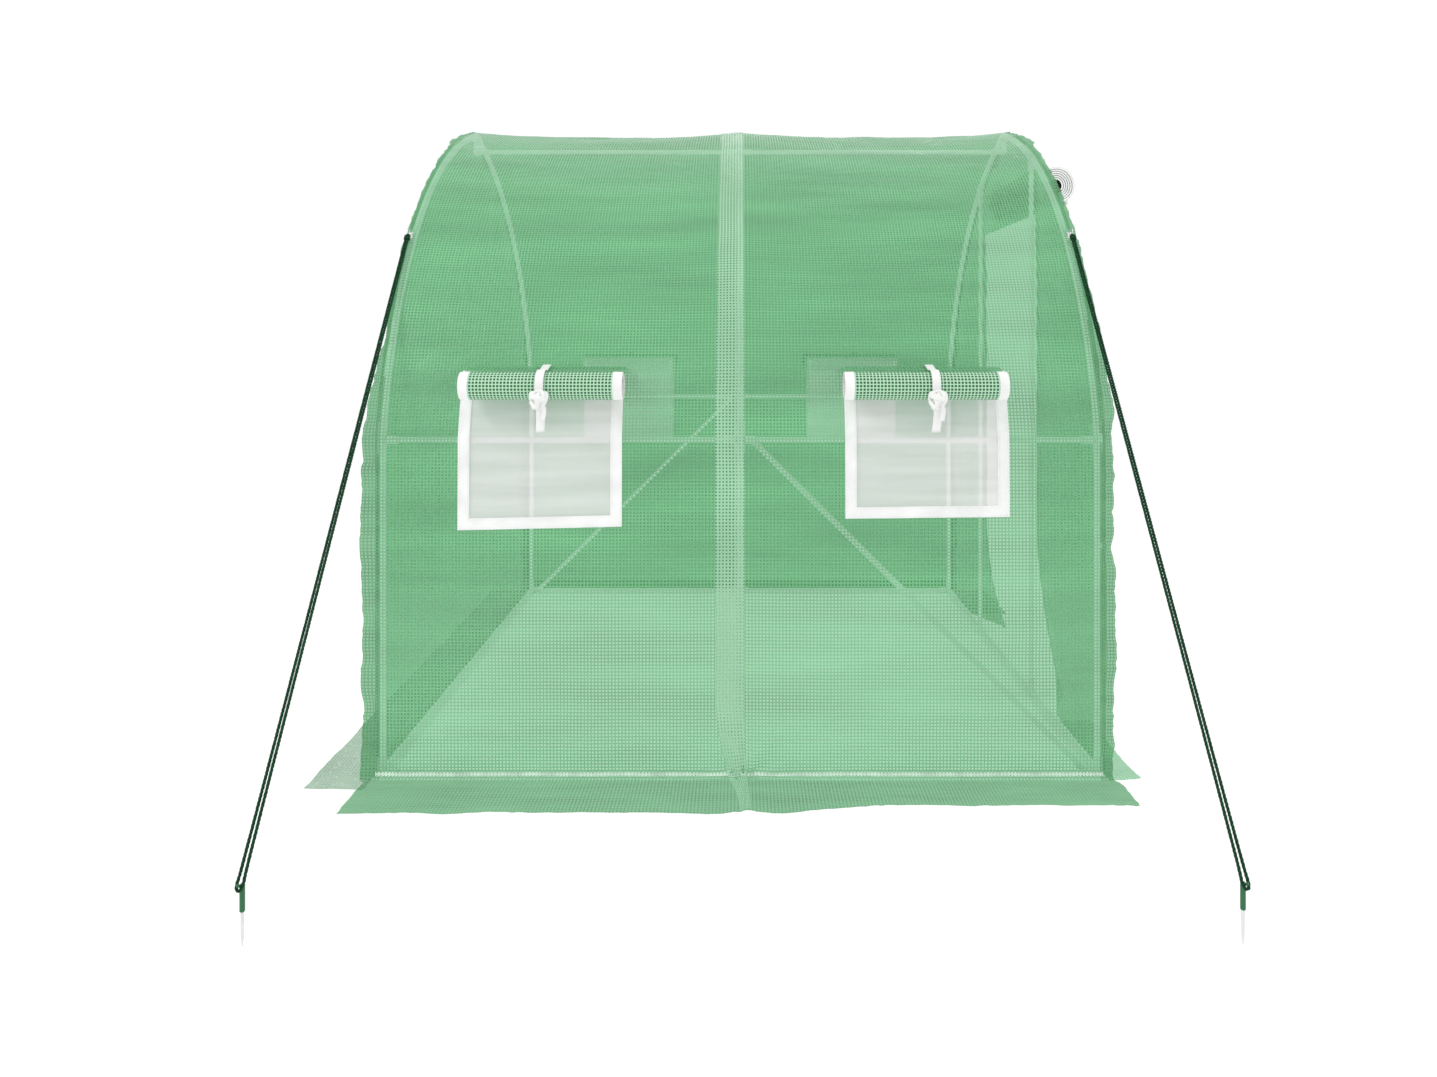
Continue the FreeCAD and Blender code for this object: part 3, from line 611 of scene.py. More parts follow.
def sag(x, run, side):
    """How far the film stands off its even shape, outward."""
    bay = abs(x) % 1.0 if abs(x) < 1.0 else 0.0
    span = 1 - abs(2 * bay - 1) ** 2.6 if 0.0 < bay < 1.0 else 0.0
    if run < ROOF_RUN:
        down = run / ROOF_RUN
        hollow = -0.020 * (1 - down) - 0.009 * down * (1 - down) * 4 * 0.6
        ripple = 0.0035 * wave(x * 3.1, run * 7.0, side, seed=1) * smooth(down * 3)
        crown = 0.005 * wave(x * 9.0, run * 5.0, side, seed=2) * (1 - smooth(down * 3.4))
        fold = 0.0022 * wave(x * 1.3, run * 34.0, side, seed=3)
        calm = smooth((1 - down) * 7)
        return span * (hollow + (ripple + crown + fold) * calm) + 0.0009 * wave(x * 24, run * 24, side)
    low = run - ROOF_RUN
    if low < WALL_RUN + BEND_RUN:
        part = low / WALL_RUN
        bulge = 0.006 * sin(pi * min(1.0, part))
        across = 0.0052 * wave(x * 1.1, low * 15.0, side, seed=4) * smooth((part - 0.25) * 2.2)
        upright = 0.0024 * wave(x * 11.0, low * 1.4, side, seed=5)
        calm = smooth(part * 9) * smooth((1.02 - part) * 9)
        gather = 0.0
        if side < 0:
            dx, dz = x - 0.01, WALL_RUN + 0.02 - low
            spread_out = hypot(dx, dz)
            near = exp(-(spread_out / 0.11) ** 2) * smooth(spread_out / 0.03)
            gather = 0.007 * near * (0.6 + sin(7 * atan2(dz, dx) + 2.0 * dx))
        grain = 0.0011 * abs(wave(x * 20, low * 20, side))
        return (span * (bulge + across + upright) + grain) * calm + gather
    flat = (low - WALL_RUN - BEND_RUN) / SKIRT_RUN
    ripple = 0.006 * (0.5 + 0.5 * wave(x * 9.0, flat * 1.6, side, seed=6))
    return 0.0006 + ripple * smooth(flat * 3) + 0.004 * abs(wave(x * 24, flat * 3, side, seed=7)) * flat


def edge_reach(end, run, side):
    """How far the cover's free edge hangs past the end hoop."""
    z = profile(run)[1]
    notch = wave(run * 11.0, side * 3.0, seed=8 + end)
    fine = wave(run * 34.0, side * 5.0, seed=9 + end) + 0.8 * wave(run * 80.0, side * 5.0, seed=45 + end)
    if end < 0:
        reach = lerp(0.052, 0.017, smooth((z - 0.95) / 0.3))
    else:
        reach = lerp(0.040, 0.026, smooth((z - 1.1) / 0.3))
    if run > ROOF_RUN + WALL_RUN + BEND_RUN:
        return (0.036 if end < 0 else 0.046) + 0.004 * fine
    ear = 0.014 * exp(-((z - 1.93) / 0.03) ** 2) * (1 + wave(run * 50.0, seed=46))
    return reach + 0.012 * notch * smooth((1.75 - z) * 3) + 0.0042 * fine + ear


def cover(x, run, lift=0.0):
    """Point on the tunnel's film: x along it, run down from the ridge (front is negative)."""
    side = -1 if run < 0 else 1
    run = abs(run)
    y, z, ny, nz = profile(run)
    off = sag(x, run, side) + lift
    if abs(x) > 1.0:
        end = 1 if x > 0 else -1
        past = (abs(x) - 1.0) / 0.05
        reach = edge_reach(end, run, side)
        calm = smooth((HALF_RUN - SKIRT_RUN - run) * 30)
        ruffle = 0.007 * wave(run * 16.0, side, seed=10 + end) + 0.004 * wave(run * 45.0, side, seed=11)
        off += past * (max(-0.002, ruffle) * calm + 0.001)
        x = end * (1.0 + past * reach)
    if run > HALF_RUN - SKIRT_RUN:
        out = (run - HALF_RUN + SKIRT_RUN) / SKIRT_RUN
        if side < 0:
            pull = exp(-((x - 0.02) / 0.06) ** 2)
            y += out * (0.010 * wave(x * 6.0, seed=12) - 0.044 * smooth((x - 0.05) * 3) * out)
            off += 0.012 * pull * out * (0.6 + 0.4 * wave(x * 60.0, out * 2, seed=13))
            y -= 0.006 * pull * out
        else:
            y += out * 0.010 * wave(x * 5.0, seed=14)
    return Vector((x, side * (y + ny * off), max(0.0025, z + nz * off)))


WINDOWS = {
    "front_closed": (-1, -0.556),
    "front_door": (-1, 0.520),
    "back_closed": (1, -0.535),
    "back_door": (1, 0.535),
}
WINDOW_HALF = 0.228
SILL_DROP = {  # how far each window's foot hangs below the even line, at its two corners
    "front_closed": (0.017, 0.007),
    "front_door": (-0.015, -0.020),
    "back_closed": (0.004, 0.008),
    "back_door": (0.006, 0.002),
}
HEM, HEM_TOP = 0.032, 0.014  # the white tape round a window, at its sides and foot and at its head
SILL, HEAD = 0.712, 1.108
RUN_SILL, RUN_HEAD = roof_run_at(SILL), roof_run_at(HEAD)
HOLE_INSET = 0.020
HOLE_FOOT = {"front_closed": 0.012, "front_door": 0.044, "back_closed": 0.022, "back_door": 0.022}


def in_window(x, run):
    side = -1 if run < 0 else 1
    for name, (where, middle) in WINDOWS.items():
        if side == where and abs(x - middle) < WINDOW_HALF - HOLE_INSET:
            return RUN_HEAD - 0.012 < abs(run) < RUN_SILL - HOLE_FOOT[name]
    return False


def skewed(name, x, run):
    """The run of a window's cloth at x, with its foot hung a little askew."""
    middle = WINDOWS[name][1]
    left, right = SILL_DROP[name]
    share = smooth((run - RUN_HEAD) / (RUN_SILL - RUN_HEAD))
    return run + share * lerp(left, right, (x - middle + WINDOW_HALF) / (2 * WINDOW_HALF))


def tunnel():
    """The sheet over both roofs, walls and side skirts, with its window holes."""
    holes_x = sorted(
        middle + sign * (WINDOW_HALF - HOLE_INSET)
        for _, middle in WINDOWS.values()
        for sign in (-1, 1)
    )
    keys_x = [-1.05, -1.025, -1.0] + [x for x in holes_x if -0.99 < x < 0.99] + [0.0, 1.0, 1.025, 1.05]
    feet = {RUN_SILL - inset for inset in HOLE_FOOT.values()}
    keys = sorted({0.0, RUN_HEAD - 0.012, ROOF_RUN, HALF_RUN} | feet)
    bends = [HALF_RUN - SKIRT_RUN - BEND_RUN * n / 4 for n in range(5)]
    runs = spread(sorted(keys + bends), 0.0135)
    runs = [-r for r in runs[:0:-1]] + runs
    xs = spread(sorted(keys_x), 0.0145)
    xs = [x for x in xs if not 1.0 < abs(x) < 1.05]
    xs += [end * past for end in (-1, 1) for past in (1.0125, 1.025, 1.0375)]
    sheet = surface(
        "cover_tunnel", sorted(xs), runs, cover, film,
        keep=lambda x, run: not in_window(x, run),
    )
    sheet.data.materials.append(film_folded)
    verts = sheet.data.vertices
    for polygon in sheet.data.polygons:
        middle = sum((verts[v].co for v in polygon.vertices), Vector()) / len(polygon.vertices)
        if abs(middle.y) > WALL_Y + 0.016 and middle.z < 0.03 or abs(middle.x) > 1.004:
            polygon.material_index = 1
    place(sheet, "root", "film_green", "wall_front", "wall_back", "roof_front", "roof_back", "side_skirts")


tunnel()


def band():
    """The doubled strip that is sewn over the middle hoop."""
    middle = -0.028

    def point(u, run):
        foot = smooth((abs(run) - HALF_RUN + 0.42) / 0.40) if run < 0 else 0.0
        pinch = 1.0 - 0.62 * foot
        sway = 0.040 * foot
        x = middle + sway + u * pinch + 0.0015 * wave(run * 8.0, u * 9.0, seed=15)
        gather = 0.006 * foot * abs(wave(u * 90.0, run * 6.0, seed=16))
        lift = 0.0018 + 0.0016 * abs(wave(u * 14.0, run * 12.0, seed=17)) + gather
        return cover(x, run, lift)

    runs = spread([0.0, ROOF_RUN, HALF_RUN - 0.004], 0.012)
    runs = [-r for r in runs[:0:-1]] + runs
    strip = surface("centre_band_film", spread([-0.04, 0.0, 0.04], 0.0068), runs, point, band_film)
    place(strip, "root", "band_green", "centre_band")


band()


def foot_seam(side):
    """The welded seam between the wall and its ground skirt."""
    foot = HALF_RUN - SKIRT_RUN - BEND_RUN
    xs = spread([-1.012, 0.0, 1.012], 0.0145)

    def point(x, run):
        lift = 0.0016 + 0.0008 * abs(wave(x * 40.0, run * 30.0, seed=41))
        return cover(x, side * (run + 0.0016 * wave(x * 13.0, seed=42)), lift)

    runs = spread([foot - 0.006, foot + 0.007], 0.0045)
    strip = surface(f"foot_seam_{SIDES[side]}", xs, runs, point, seam_film)
    place(strip, "root", "band_green")


for seam_side in SIDES:
    foot_seam(seam_side)

# ---- windows


def window_border(name, side, middle):
    """White tape round a window, with its hem over the roll."""
    low, high = RUN_HEAD - 0.030, RUN_SILL
    left, right = middle - WINDOW_HALF, middle + WINDOW_HALF
    xs = spread([left, left + HEM, right - HEM, right], 0.011)
    runs = spread([low, low + HEM_TOP, high - HEM, high], 0.011)

    def keep(x, run):
        return not (left + HEM < x < right - HEM and low + HEM_TOP < abs(run) < high - HEM)

    def point(x, run):
        puff = 0.0010 * abs(wave(x * 30, run * 30, seed=18))
        return cover(x, side * skewed(name, x, abs(run)), 0.0022 + puff)

    border = surface(f"window_border_{name}", xs, [side * r for r in runs], point, tape_white, keep=keep)
    seam = []
    for inset in (0.004, HEM - 0.004):
        corners = [
            (left + inset, low + 0.010), (left + inset, high - inset),
            (right - inset, high - inset), (right - inset, low + 0.010),
        ]
        for (xa, ra), (xb, rb) in zip(corners, corners[1:]):
            count = int(max(abs(xb - xa), abs(rb - ra)) / 0.006)
            for n in range(count):
                ends = []
                for t in ((n + 0.18) / count, (n + 0.72) / count):
                    at = lerp(xa, xb, t)
                    ends.append(cover(at, side * skewed(name, at, lerp(ra, rb, t)), 0.0038))
                seam.append(tube_mesh(ends, 0.0005, 4))
    stitches = new_object(f"window_stitches_{name}", *joined(seam), teeth_white)
    for piece in (border, stitches):
        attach(piece, "root")


def window_net(name, side, middle):
    """The insect net behind a window's border."""
    inset = 0.012
    xs = spread([middle - WINDOW_HALF + inset, middle + WINDOW_HALF - inset], 0.012)
    runs = spread([RUN_HEAD - 0.020, RUN_SILL - inset], 0.012)

    def point(x, run):
        billow = 0.003 * wave(x * 6.0, run * 6.0, side, seed=19)
        return cover(x, side * skewed(name, x, abs(run)), -0.0015 - abs(billow))

    net = surface(f"window_mesh_{name}", xs, [side * r for r in runs], point, net_white)
    place(net, "root", "net_white", f"window_net_{name}")


FLAP_Z, FLAP_RADIUS, FLAP_Y = 1.096, 0.042, 1.0369
FLAP_DROP, DOOR_DROP = 0.363, 1.66  # how far a flap and the door come down


def flap_roll(name, side, middle):
    """The window's flap, rolled up and hanging from its hem, and the part not rolled."""
    turns, thick = 2.05, 0.0034
    steps = 150
    half, tape = WINDOW_HALF - 0.005, 0.026
    middle *= 0.978

    def spiral(t):
        """Y out from the roll's middle and Z, from the outer end inwards."""
        angle = pi + 2 * pi * turns * t
        radius = FLAP_RADIUS - 0.0012 - thick * turns * t
        return radius * cos(angle), -radius * sin(angle)

    lengths = running_lengths([spiral(n / steps) for n in range(steps + 1)])
    xs = spread([-half, -half + tape, half - tape, half], 0.0125)

    def point(x, n):
        n = int(round(n))
        out, up = spiral(n / steps)
        end = smooth((abs(x) - half + 0.03) / 0.03)
        wobble = 1 + 0.014 * wave(x * 9, lengths[n] * 5, side, seed=20 + middle) * (1 - end)
        flare = 1 - 0.02 * end
        y = FLAP_Y + out * wobble * flare
        return Vector((middle + x, side * y, FLAP_Z + up * wobble * flare))

    roll = surface(f"window_roll_{name}", xs, list(range(steps + 1)), point, film_roll,
                   uv=lambda x, n: (x, lengths[int(round(n))]))
    roll.data.materials.append(tape_white)
    for polygon in roll.data.polygons:
        at = sum((roll.data.vertices[v].co.x for v in polygon.vertices)) / 4 - middle
        if abs(at) > half - tape:
            polygon.material_index = 1
    place(roll, f"window_flap_{name}", "film_green", f"flap_roll_{name}")
    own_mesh(roll)

    start = cover(middle, side * roof_run_at(1.146), 0.004)
    out_y = FLAP_Y - FLAP_RADIUS + 0.0015
    path = [(abs(start.y), start.z), (abs(start.y) + 0.010, 1.1445), (out_y - 0.003, 1.140), (out_y, 1.135)]
    path += [(out_y, lerp(1.135, FLAP_Z, n / 26)) for n in range(1, 27)]
    marks = running_lengths(path)

    def strip_point(x, n):
        y, z = path[int(round(n))]
        return Vector((middle + x, side * y, z))

    bend_top, bend_low = 1.134, 1.098

    def strip_uv(x, n):
        n = int(round(n))
        return x, marks[n] + FLAP_DROP * smooth((bend_top - path[n][1]) / (bend_top - bend_low))

    strip = surface(f"flap_sheet_{name}", xs, list(range(len(path))), strip_point, film_pulled, uv=strip_uv)
    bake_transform(strip)


def ribbon(name, path, width, side_way):
    """A thin strap along path, width across side_way, with a soft edge."""
    thick = 0.0011
    side_way = Vector(side_way)
    points = [Vector(p) for p in path]
    marks = running_lengths(points)
    verts, uvs = [], []
    across = [-0.5, -0.25, 0.0, 0.25, 0.5]
    for n, point in enumerate(points):
        way = (points[min(n + 1, len(points) - 1)] - points[max(n - 1, 0)]).normalized()
        out = side_way.cross(way).normalized()
        for face in (1, -1):
            for k in across[::face]:
                crown = 0.5 * thick * (1 - 0.7 * (2 * k) ** 4)
                verts.append(point + side_way * (width * k) + out * (face * crown))
                uvs.append((k * width, marks[n]))
    faces = rows_joined(len(points), 2 * len(across))
    return new_object(name, verts, faces, strap_white, uvs), marks[-1]


def knot_mesh(name, centre, out, size):
    """A slip knot: two hanging loops of strap under a wrap that is pulled tight."""
    centre, out, along = Vector(centre), Vector(out), Vector((0, 0, 1))
    across = out.cross(along)
    parts = []
    loops = [  # middle across and along, radii across and along, twist, thickness, rise
        (-0.0075, -0.006, 0.0075, 0.0185, 0.34, 0.0042, 0.006),
        (0.0075, -0.004, 0.0080, 0.0165, -0.42, 0.0040, 0.007),
        (-0.0010, 0.007, 0.0115, 0.0090, 0.20, 0.0038, 0.010),
        (0.0010, -0.014, 0.0060, 0.0120, 0.90, 0.0034, 0.005),
    ]
    for da, db, ra, rb, twist, thick, rise in loops:
        line = []
        for n in range(31):
            turn = 2 * pi * n / 30
            a, b = ra * cos(turn), rb * sin(turn)
            a, b = a * cos(twist) - b * sin(twist), a * sin(twist) + b * cos(twist)
            lift = rise + 0.0035 * sin(turn * 2 + 5 * twist)
            line.append(centre + (across * (a + da) + along * (b + db) + out * lift) * size)
        parts.append(tube_mesh(
            line, lambda t, w=thick: w * size * (1 + 0.3 * sin(11 * t + w * 900)), 8, False
        ))
    wrap = []
    for n in range(25):
        turn = 2 * pi * n / 24
        rim = across * (0.0135 * cos(turn)) + out * (0.008 + 0.0085 * sin(turn))
        wrap.append(centre + (rim + along * (0.001 + 0.004 * cos(turn))) * size)
    parts.append(tube_mesh(wrap, lambda t: size * (0.0052 + 0.0012 * sin(7 * t)), 9, False))
    heart = [centre + (along * (0.030 * (t - 0.5)) + out * 0.007) * size for t in (0, 0.25, 0.5, 0.75, 1)]
    parts.append(tube_mesh(heart, lambda t: size * (0.003 + 0.008 * sin(pi * t)), 12))
    return new_object(name, *joined(parts), strap_white)


def flap_tie(name, side, middle):
    """The tie strap over a rolled window flap."""
    x = middle + 0.012
    root = cover(x, side * roof_run_at(1.152), 0.0045)
    over = FLAP_RADIUS + 0.0035
    path = [Vector((x, root.y, root.z)), Vector((x, side * (abs(root.y) + 0.016), root.z + 0.001))]
    for n in range(9):
        angle = lerp(radians(112), radians(-8), n / 8)
        path.append(Vector((x, side * (FLAP_Y + over * cos(angle)), FLAP_Z + over * sin(angle))))
    hang = path[-1]
    for n in range(1, 15):
        t = n / 14
        sway = 0.004 * sin(t * 3.0)
        lean = side * (0.004 * t - 0.020 * t * t)
        path.append(Vector((x + sway, hang.y + lean, hang.z - 0.118 * t)))
    strap, length = ribbon(f"flap_tie_{name}", path, 0.024, (1, 0, 0))
    knot_at = Vector((x, side * (FLAP_Y + over), FLAP_Z - 0.030))
    knot = knot_mesh(f"flap_knot_{name}", knot_at, (0, side, 0), 1.25)
    second = [knot_at + Vector((0.004, side * 0.008, -0.004))]
    for n in range(1, 12):
        t = n / 11
        sway = 0.012 * t + 0.006 * sin(4 * t)
        second.append(second[0] + Vector((sway, side * 0.002 * t, -0.058 * t)))
    tail, tail_length = ribbon(f"flap_tail_{name}", second, 0.014, (1, 0, 0))
    for piece in (strap, knot, tail):
        place(piece, "root", "strap_white")
        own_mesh(piece)
    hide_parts("flap_ties")


for window_name, window_place in WINDOWS.items():
    for make in (window_border, window_net, flap_roll, flap_tie):
        make(window_name, *window_place)

# ---- end walls


def arch_height(y):
    """Height of the cover's underside over this Y."""
    y = min(abs(y), WALL_Y - 0.0005)
    inner = OUTER - 0.002
    if ARC_Y + inner * cos(EAVES_ANGLE) <= y:
        return EAVES * (WALL_Y - y) / 0.004 + EAVES - 0.4 if y > WALL_Y - 0.001 else EAVES
    return ARC_Z + sqrt(max(0.0, inner**2 - (y - ARC_Y) ** 2))


END_FACE, DOOR_FACE = 1.0155, 1.0167  # X of the end sheets
END_FOOT = 0.016


def end_wall(name, end, ys, low, shape):
    """A flat end sheet from the height low to the hoop; shape(y, z) is how far it stands out."""
    rows = [n / 92 for n in range(93)]
    heights = {}

    def point(y, row):
        z = lerp(low, arch_height(y), row)
        heights[(y, row)] = z
        return Vector((end * (END_FACE + shape(y, z)), y, z))

    return surface(name, ys, rows, point, film_end, uv=lambda y, row: (y, heights[(y, row)]))


def closed_shape(y, z):
    fold = 0.010 * max(0.0, wave(y * 3.4, z * 0.5, seed=30) + 0.2) * smooth(z * 2.2)
    loose = 0.004 * abs(wave(y * 11.0, z * 1.1, seed=31))
    seam = -0.004 * exp(-(y / 0.02) ** 2)
    rim = smooth((arch_height(y) - z) * 9) * smooth((1.0 - abs(y)) * 14)
    return max(0.0, (fold + loose + seam) * rim)


closed_wall = end_wall(
    "cover_closed_end", -1, spread([-WALL_Y + 0.001, 0.0, WALL_Y - 0.001], 0.016), END_FOOT, closed_shape
)


def end_skirt(name, end, ys, root_x, reach, material):
    """The part of an end sheet that lies out on the ground."""
    def point(y, t):
        out = t * (reach + 0.012 * wave(y * 4.0, seed=32 + end))
        lift = 0.007 * (0.5 + 0.5 * wave(y * 7.0, t * 1.5, seed=33 + end)) * smooth(t * 3)
        lift += 0.004 * abs(wave(y * 21.0, t * 3.0, seed=34 + end)) * t
        if t < 0.12:
            turn = t / 0.12 * pi / 2
            x = root_x + 0.012 * (1 - cos(turn))
            return Vector((end * x, y, 0.003 + 0.013 * (1 - sin(turn))))
        return Vector((end * (root_x + 0.012 + out - 0.12 * reach), y, 0.003 + lift))

    rows = [n / 18 for n in range(19)]
    return surface(name, ys, rows, point, material, uv=lambda y, t: (y, t * reach))


closed_skirt = end_skirt("skirt_closed_end", -1, spread([-1.075, 1.02], 0.016), END_FACE, 0.180, film_laid)
place(closed_wall, "root", "film_green", "end_wall_closed")
place(closed_skirt, "root", "film_green", "end_skirts")

DOORWAY_HALF, DOORWAY_TOP, JAMB = 0.350, 1.650, 0.600


def door_shape(y, z):
    return 0.0012 + 0.0012 * abs(wave(y * 9.0, z * 2.0, seed=36)) * smooth((arch_height(y) - z) * 9)


def door_end():
    """The end sheet over the doorway and at both sides of it."""
    ys = spread([-WALL_Y + 0.001, -JAMB, -DOORWAY_HALF, DOORWAY_HALF, JAMB, WALL_Y - 0.001], 0.016)
    ys = sorted(set(ys))
    over = [y for y in ys if abs(y) <= JAMB + 1e-6]
    pieces = [end_wall("cover_door_top", 1, over, DOORWAY_TOP, door_shape)]
    for side, label in SIDES.items():
        outer = [y for y in ys if y * side >= JAMB - 1e-6]
        pieces.append(end_wall(f"cover_door_{label}", 1, outer, END_FOOT, door_shape))
    for piece in pieces:
        place(piece, "root", "film_green", "end_wall_door")


door_end()


def jamb_stand(side, y, z):
    """How far the loose edge beside the doorway stands out from the wall."""
    inward = smooth((JAMB - abs(y)) / (JAMB - DOORWAY_HALF))
    down = smooth((1.598 - z) / 0.13)
    start, reach = (0.52, 0.078) if side > 0 else (0.62, 0.075)
    flare = reach * max(0.0, (start - z) / (start - 0.02)) ** 2
    curl = 0.006 + 0.006 * wave(z * 2.2, side, seed=38) + 0.003 * wave(z * 7.0, y * 4.0, side, seed=39)
    return inward * down * max(0.0, flare + curl)


def jamb(side):
    """The strip beside the doorway, with its half of the zip."""
    label = SIDES[side]
    ys = [side * y for y in spread([DOORWAY_HALF, JAMB], 0.0125)]
    zs = spread([END_FOOT, DOORWAY_TOP], 0.0135)

    def point(y, z):
        return Vector((DOOR_FACE + jamb_stand(side, y, z), y, z))

    sheet = surface(f"door_jamb_{label}", ys, zs, point, film_end)

    tape_ys = [side * y for y in spread([DOORWAY_HALF + 0.002, DOORWAY_HALF + 0.027], 0.0045)]
    tape = surface(f"zip_tape_{label}", tape_ys, spread([0.030, 1.640], 0.0135),
                   lambda y, z: point(y, z) + Vector((0.0009, 0, 0)), zip_white)
    teeth = []
    for n in range(530):
        z = 0.034 + n * 0.003
        at = point(side * (DOORWAY_HALF + 0.003), z) + Vector((0.0014, 0, 0))
        teeth.append(tube_mesh([at - Vector((0, 0.0022, 0)), at + Vector((0, 0.0022, 0))], 0.00085, 4))
    coil = new_object(f"zip_teeth_{label}", *joined(teeth), teeth_white)
    for piece in (sheet, tape, coil):
        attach(piece, "root")
        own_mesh(piece)
    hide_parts("end_wall_door")
    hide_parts("door_zips")


for way, label in SIDES.items():
    jamb(way)
    reach, skirt_film = (0.100, film_end) if way < 0 else (0.168, film_laid)
    skirt_ys = [way * y for y in spread([0.60, 1.02], 0.016)]
    door_skirt = end_skirt(f"skirt_door_{label}", 1, skirt_ys, DOOR_FACE, reach, skirt_film)
    place(door_skirt, "root", "film_green", "end_skirts")

# ---- rolled door


def door_roll():
    """The rolled-up door panel, its white edges, a near-black tube of painted shade in its hollow and the
    part not rolled.
    """
    turns, outer, inner = 5.6, 0.0660, 0.0270
    steps = 300
    half, tape = 0.340, 0.045

    def spiral(t):
        angle = pi + 2 * pi * turns * t
        radius = lerp(outer, inner, t)
        squeeze = 1 + 0.02 * sin(2 * angle)
        return radius * cos(angle) * squeeze, -radius * sin(angle) / squeeze

    marks = running_lengths([spiral(n / steps) for n in range(steps + 1)])
    ys = spread([-half, -half + tape, half - tape, half], 0.0145)

    def point(y, n):
        n = int(round(n))
        out, up = spiral(n / steps)
        cone = 0.010 * smooth((abs(y) - half + 0.05) / 0.05) * (n / steps)
        wobble = min(1.0, 1 + 0.02 * wave(y * 6, marks[n] * 3, seed=40) * (1 - n / steps))
        return Vector((DOOR_X + out * wobble, y - copysign(cone, y), DOOR_Z + up * wobble))

    roll = surface("door_roll_film", ys, list(range(steps + 1)), point, film_roll,
                   uv=lambda y, n: (y, marks[int(round(n))]))
    roll.data.materials.append(tape_white)
    for polygon in roll.data.polygons:
        at = sum(roll.data.vertices[v].co.y for v in polygon.vertices) / 4
        # Only the outermost turn keeps the white tape at the edges. The inner turns take the roll's
        # dark-celled film as painted shade inside the roll.
        outermost = polygon.index % steps < steps / turns
        if abs(at) > half - tape - 0.001 and outermost:
            polygon.material_index = 1
    place(roll, "door_flap", "film_green", "door_roll")
    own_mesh(roll)

    gap = (outer - inner) / turns
    verts, faces, uvs = [], [], []
    for end in (-1, 1):
        for n in range(steps + 1):
            out, up = spiral(n / steps)
            size = hypot(out, up)
            dent = 0.010 * n / steps
            for inward in (0.0004, 0.45 * gap, 0.9 * gap):
                keep = (size - inward) / size
                y = end * (half - dent - 0.0012 + 0.0014 * sin(pi * inward / gap))
                verts.append(Vector((DOOR_X + out * keep, y, DOOR_Z + up * keep)))
                uvs.append((marks[n], inward))
        base = len(verts) - 3 * (steps + 1)
        for n in range(steps):
            for k in (0, 1):
                a = base + 3 * n + k
                faces.append((a, a + 3, a + 4, a + 1))
    edges = new_object("door_roll_edges", verts, faces, tape_white, uvs)
    # A near-black tube down the hollow is painted shade for the dark inside of the roll.
    hollow = []
    for n in range(37):
        y = lerp(-half + 0.016, half - 0.016, n / 36)
        hollow.append(Vector((DOOR_X + 0.0012 * wave(y * 9, seed=44), y, DOOR_Z)))
    tube = tube_mesh(hollow, lambda t: 0.0222 + 0.0008 * sin(40 * t), 24)
    hollow_shade = new_object("door_roll_hollow_shade", *tube, shade_green)
    for piece, slot in ((edges, "strap_white"), (hollow_shade, "film_green")):
        place(piece, "door_flap", slot)
        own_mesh(piece)

    x, bend_top, bend_low = 1.0190, 1.799, 1.754
    path = [(x, z) for z in spread([1.752, 1.800], 0.0016)] + [(1.0182, 1.812)]
    lengths = running_lengths(path)

    def strip_point(y, n):
        across, up = path[int(round(n))]
        return Vector((across, y, up))

    def strip_uv(y, n):
        n = int(round(n))
        return y, DOOR_DROP * smooth((bend_top - path[n][1]) / (bend_top - bend_low)) - lengths[n]

    strip = surface("door_sheet", ys, list(range(len(path))), strip_point, film_pulled, uv=strip_uv)
    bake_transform(strip)


door_roll()


def door_tie(number, y):
    """A tie strap over the rolled door."""
    over = 0.0705
    path = [Vector((1.0205, y, DOOR_Z + 0.085)), Vector((1.035, y, DOOR_Z + 0.082))]
    for n in range(13):
        angle = lerp(radians(112), radians(-6), n / 12)
        path.append(Vector((DOOR_X + over * cos(angle), y, DOOR_Z + over * sin(angle))))
    hang = path[-1]
    for n in range(1, 13):
        t = n / 12
        path.append(Vector((hang.x - 0.004 * t * t, y + 0.005 * sin(3 * t), hang.z - 0.115 * t)))
    strap, length = ribbon(f"door_tie_{number}", path, 0.020, (0, 1, 0))
    knot = knot_mesh(f"door_knot_{number}", (DOOR_X + over, y, DOOR_Z - 0.022), (1, 0, 0), 1.1)
    for piece in (strap, knot):
        place(piece, "root", "strap_white")
        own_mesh(piece)
    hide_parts("flap_ties")


for tie_number, tie_y in enumerate((-0.2, 0.2)):
    door_tie(tie_number, tie_y)

# ---- zip sliders


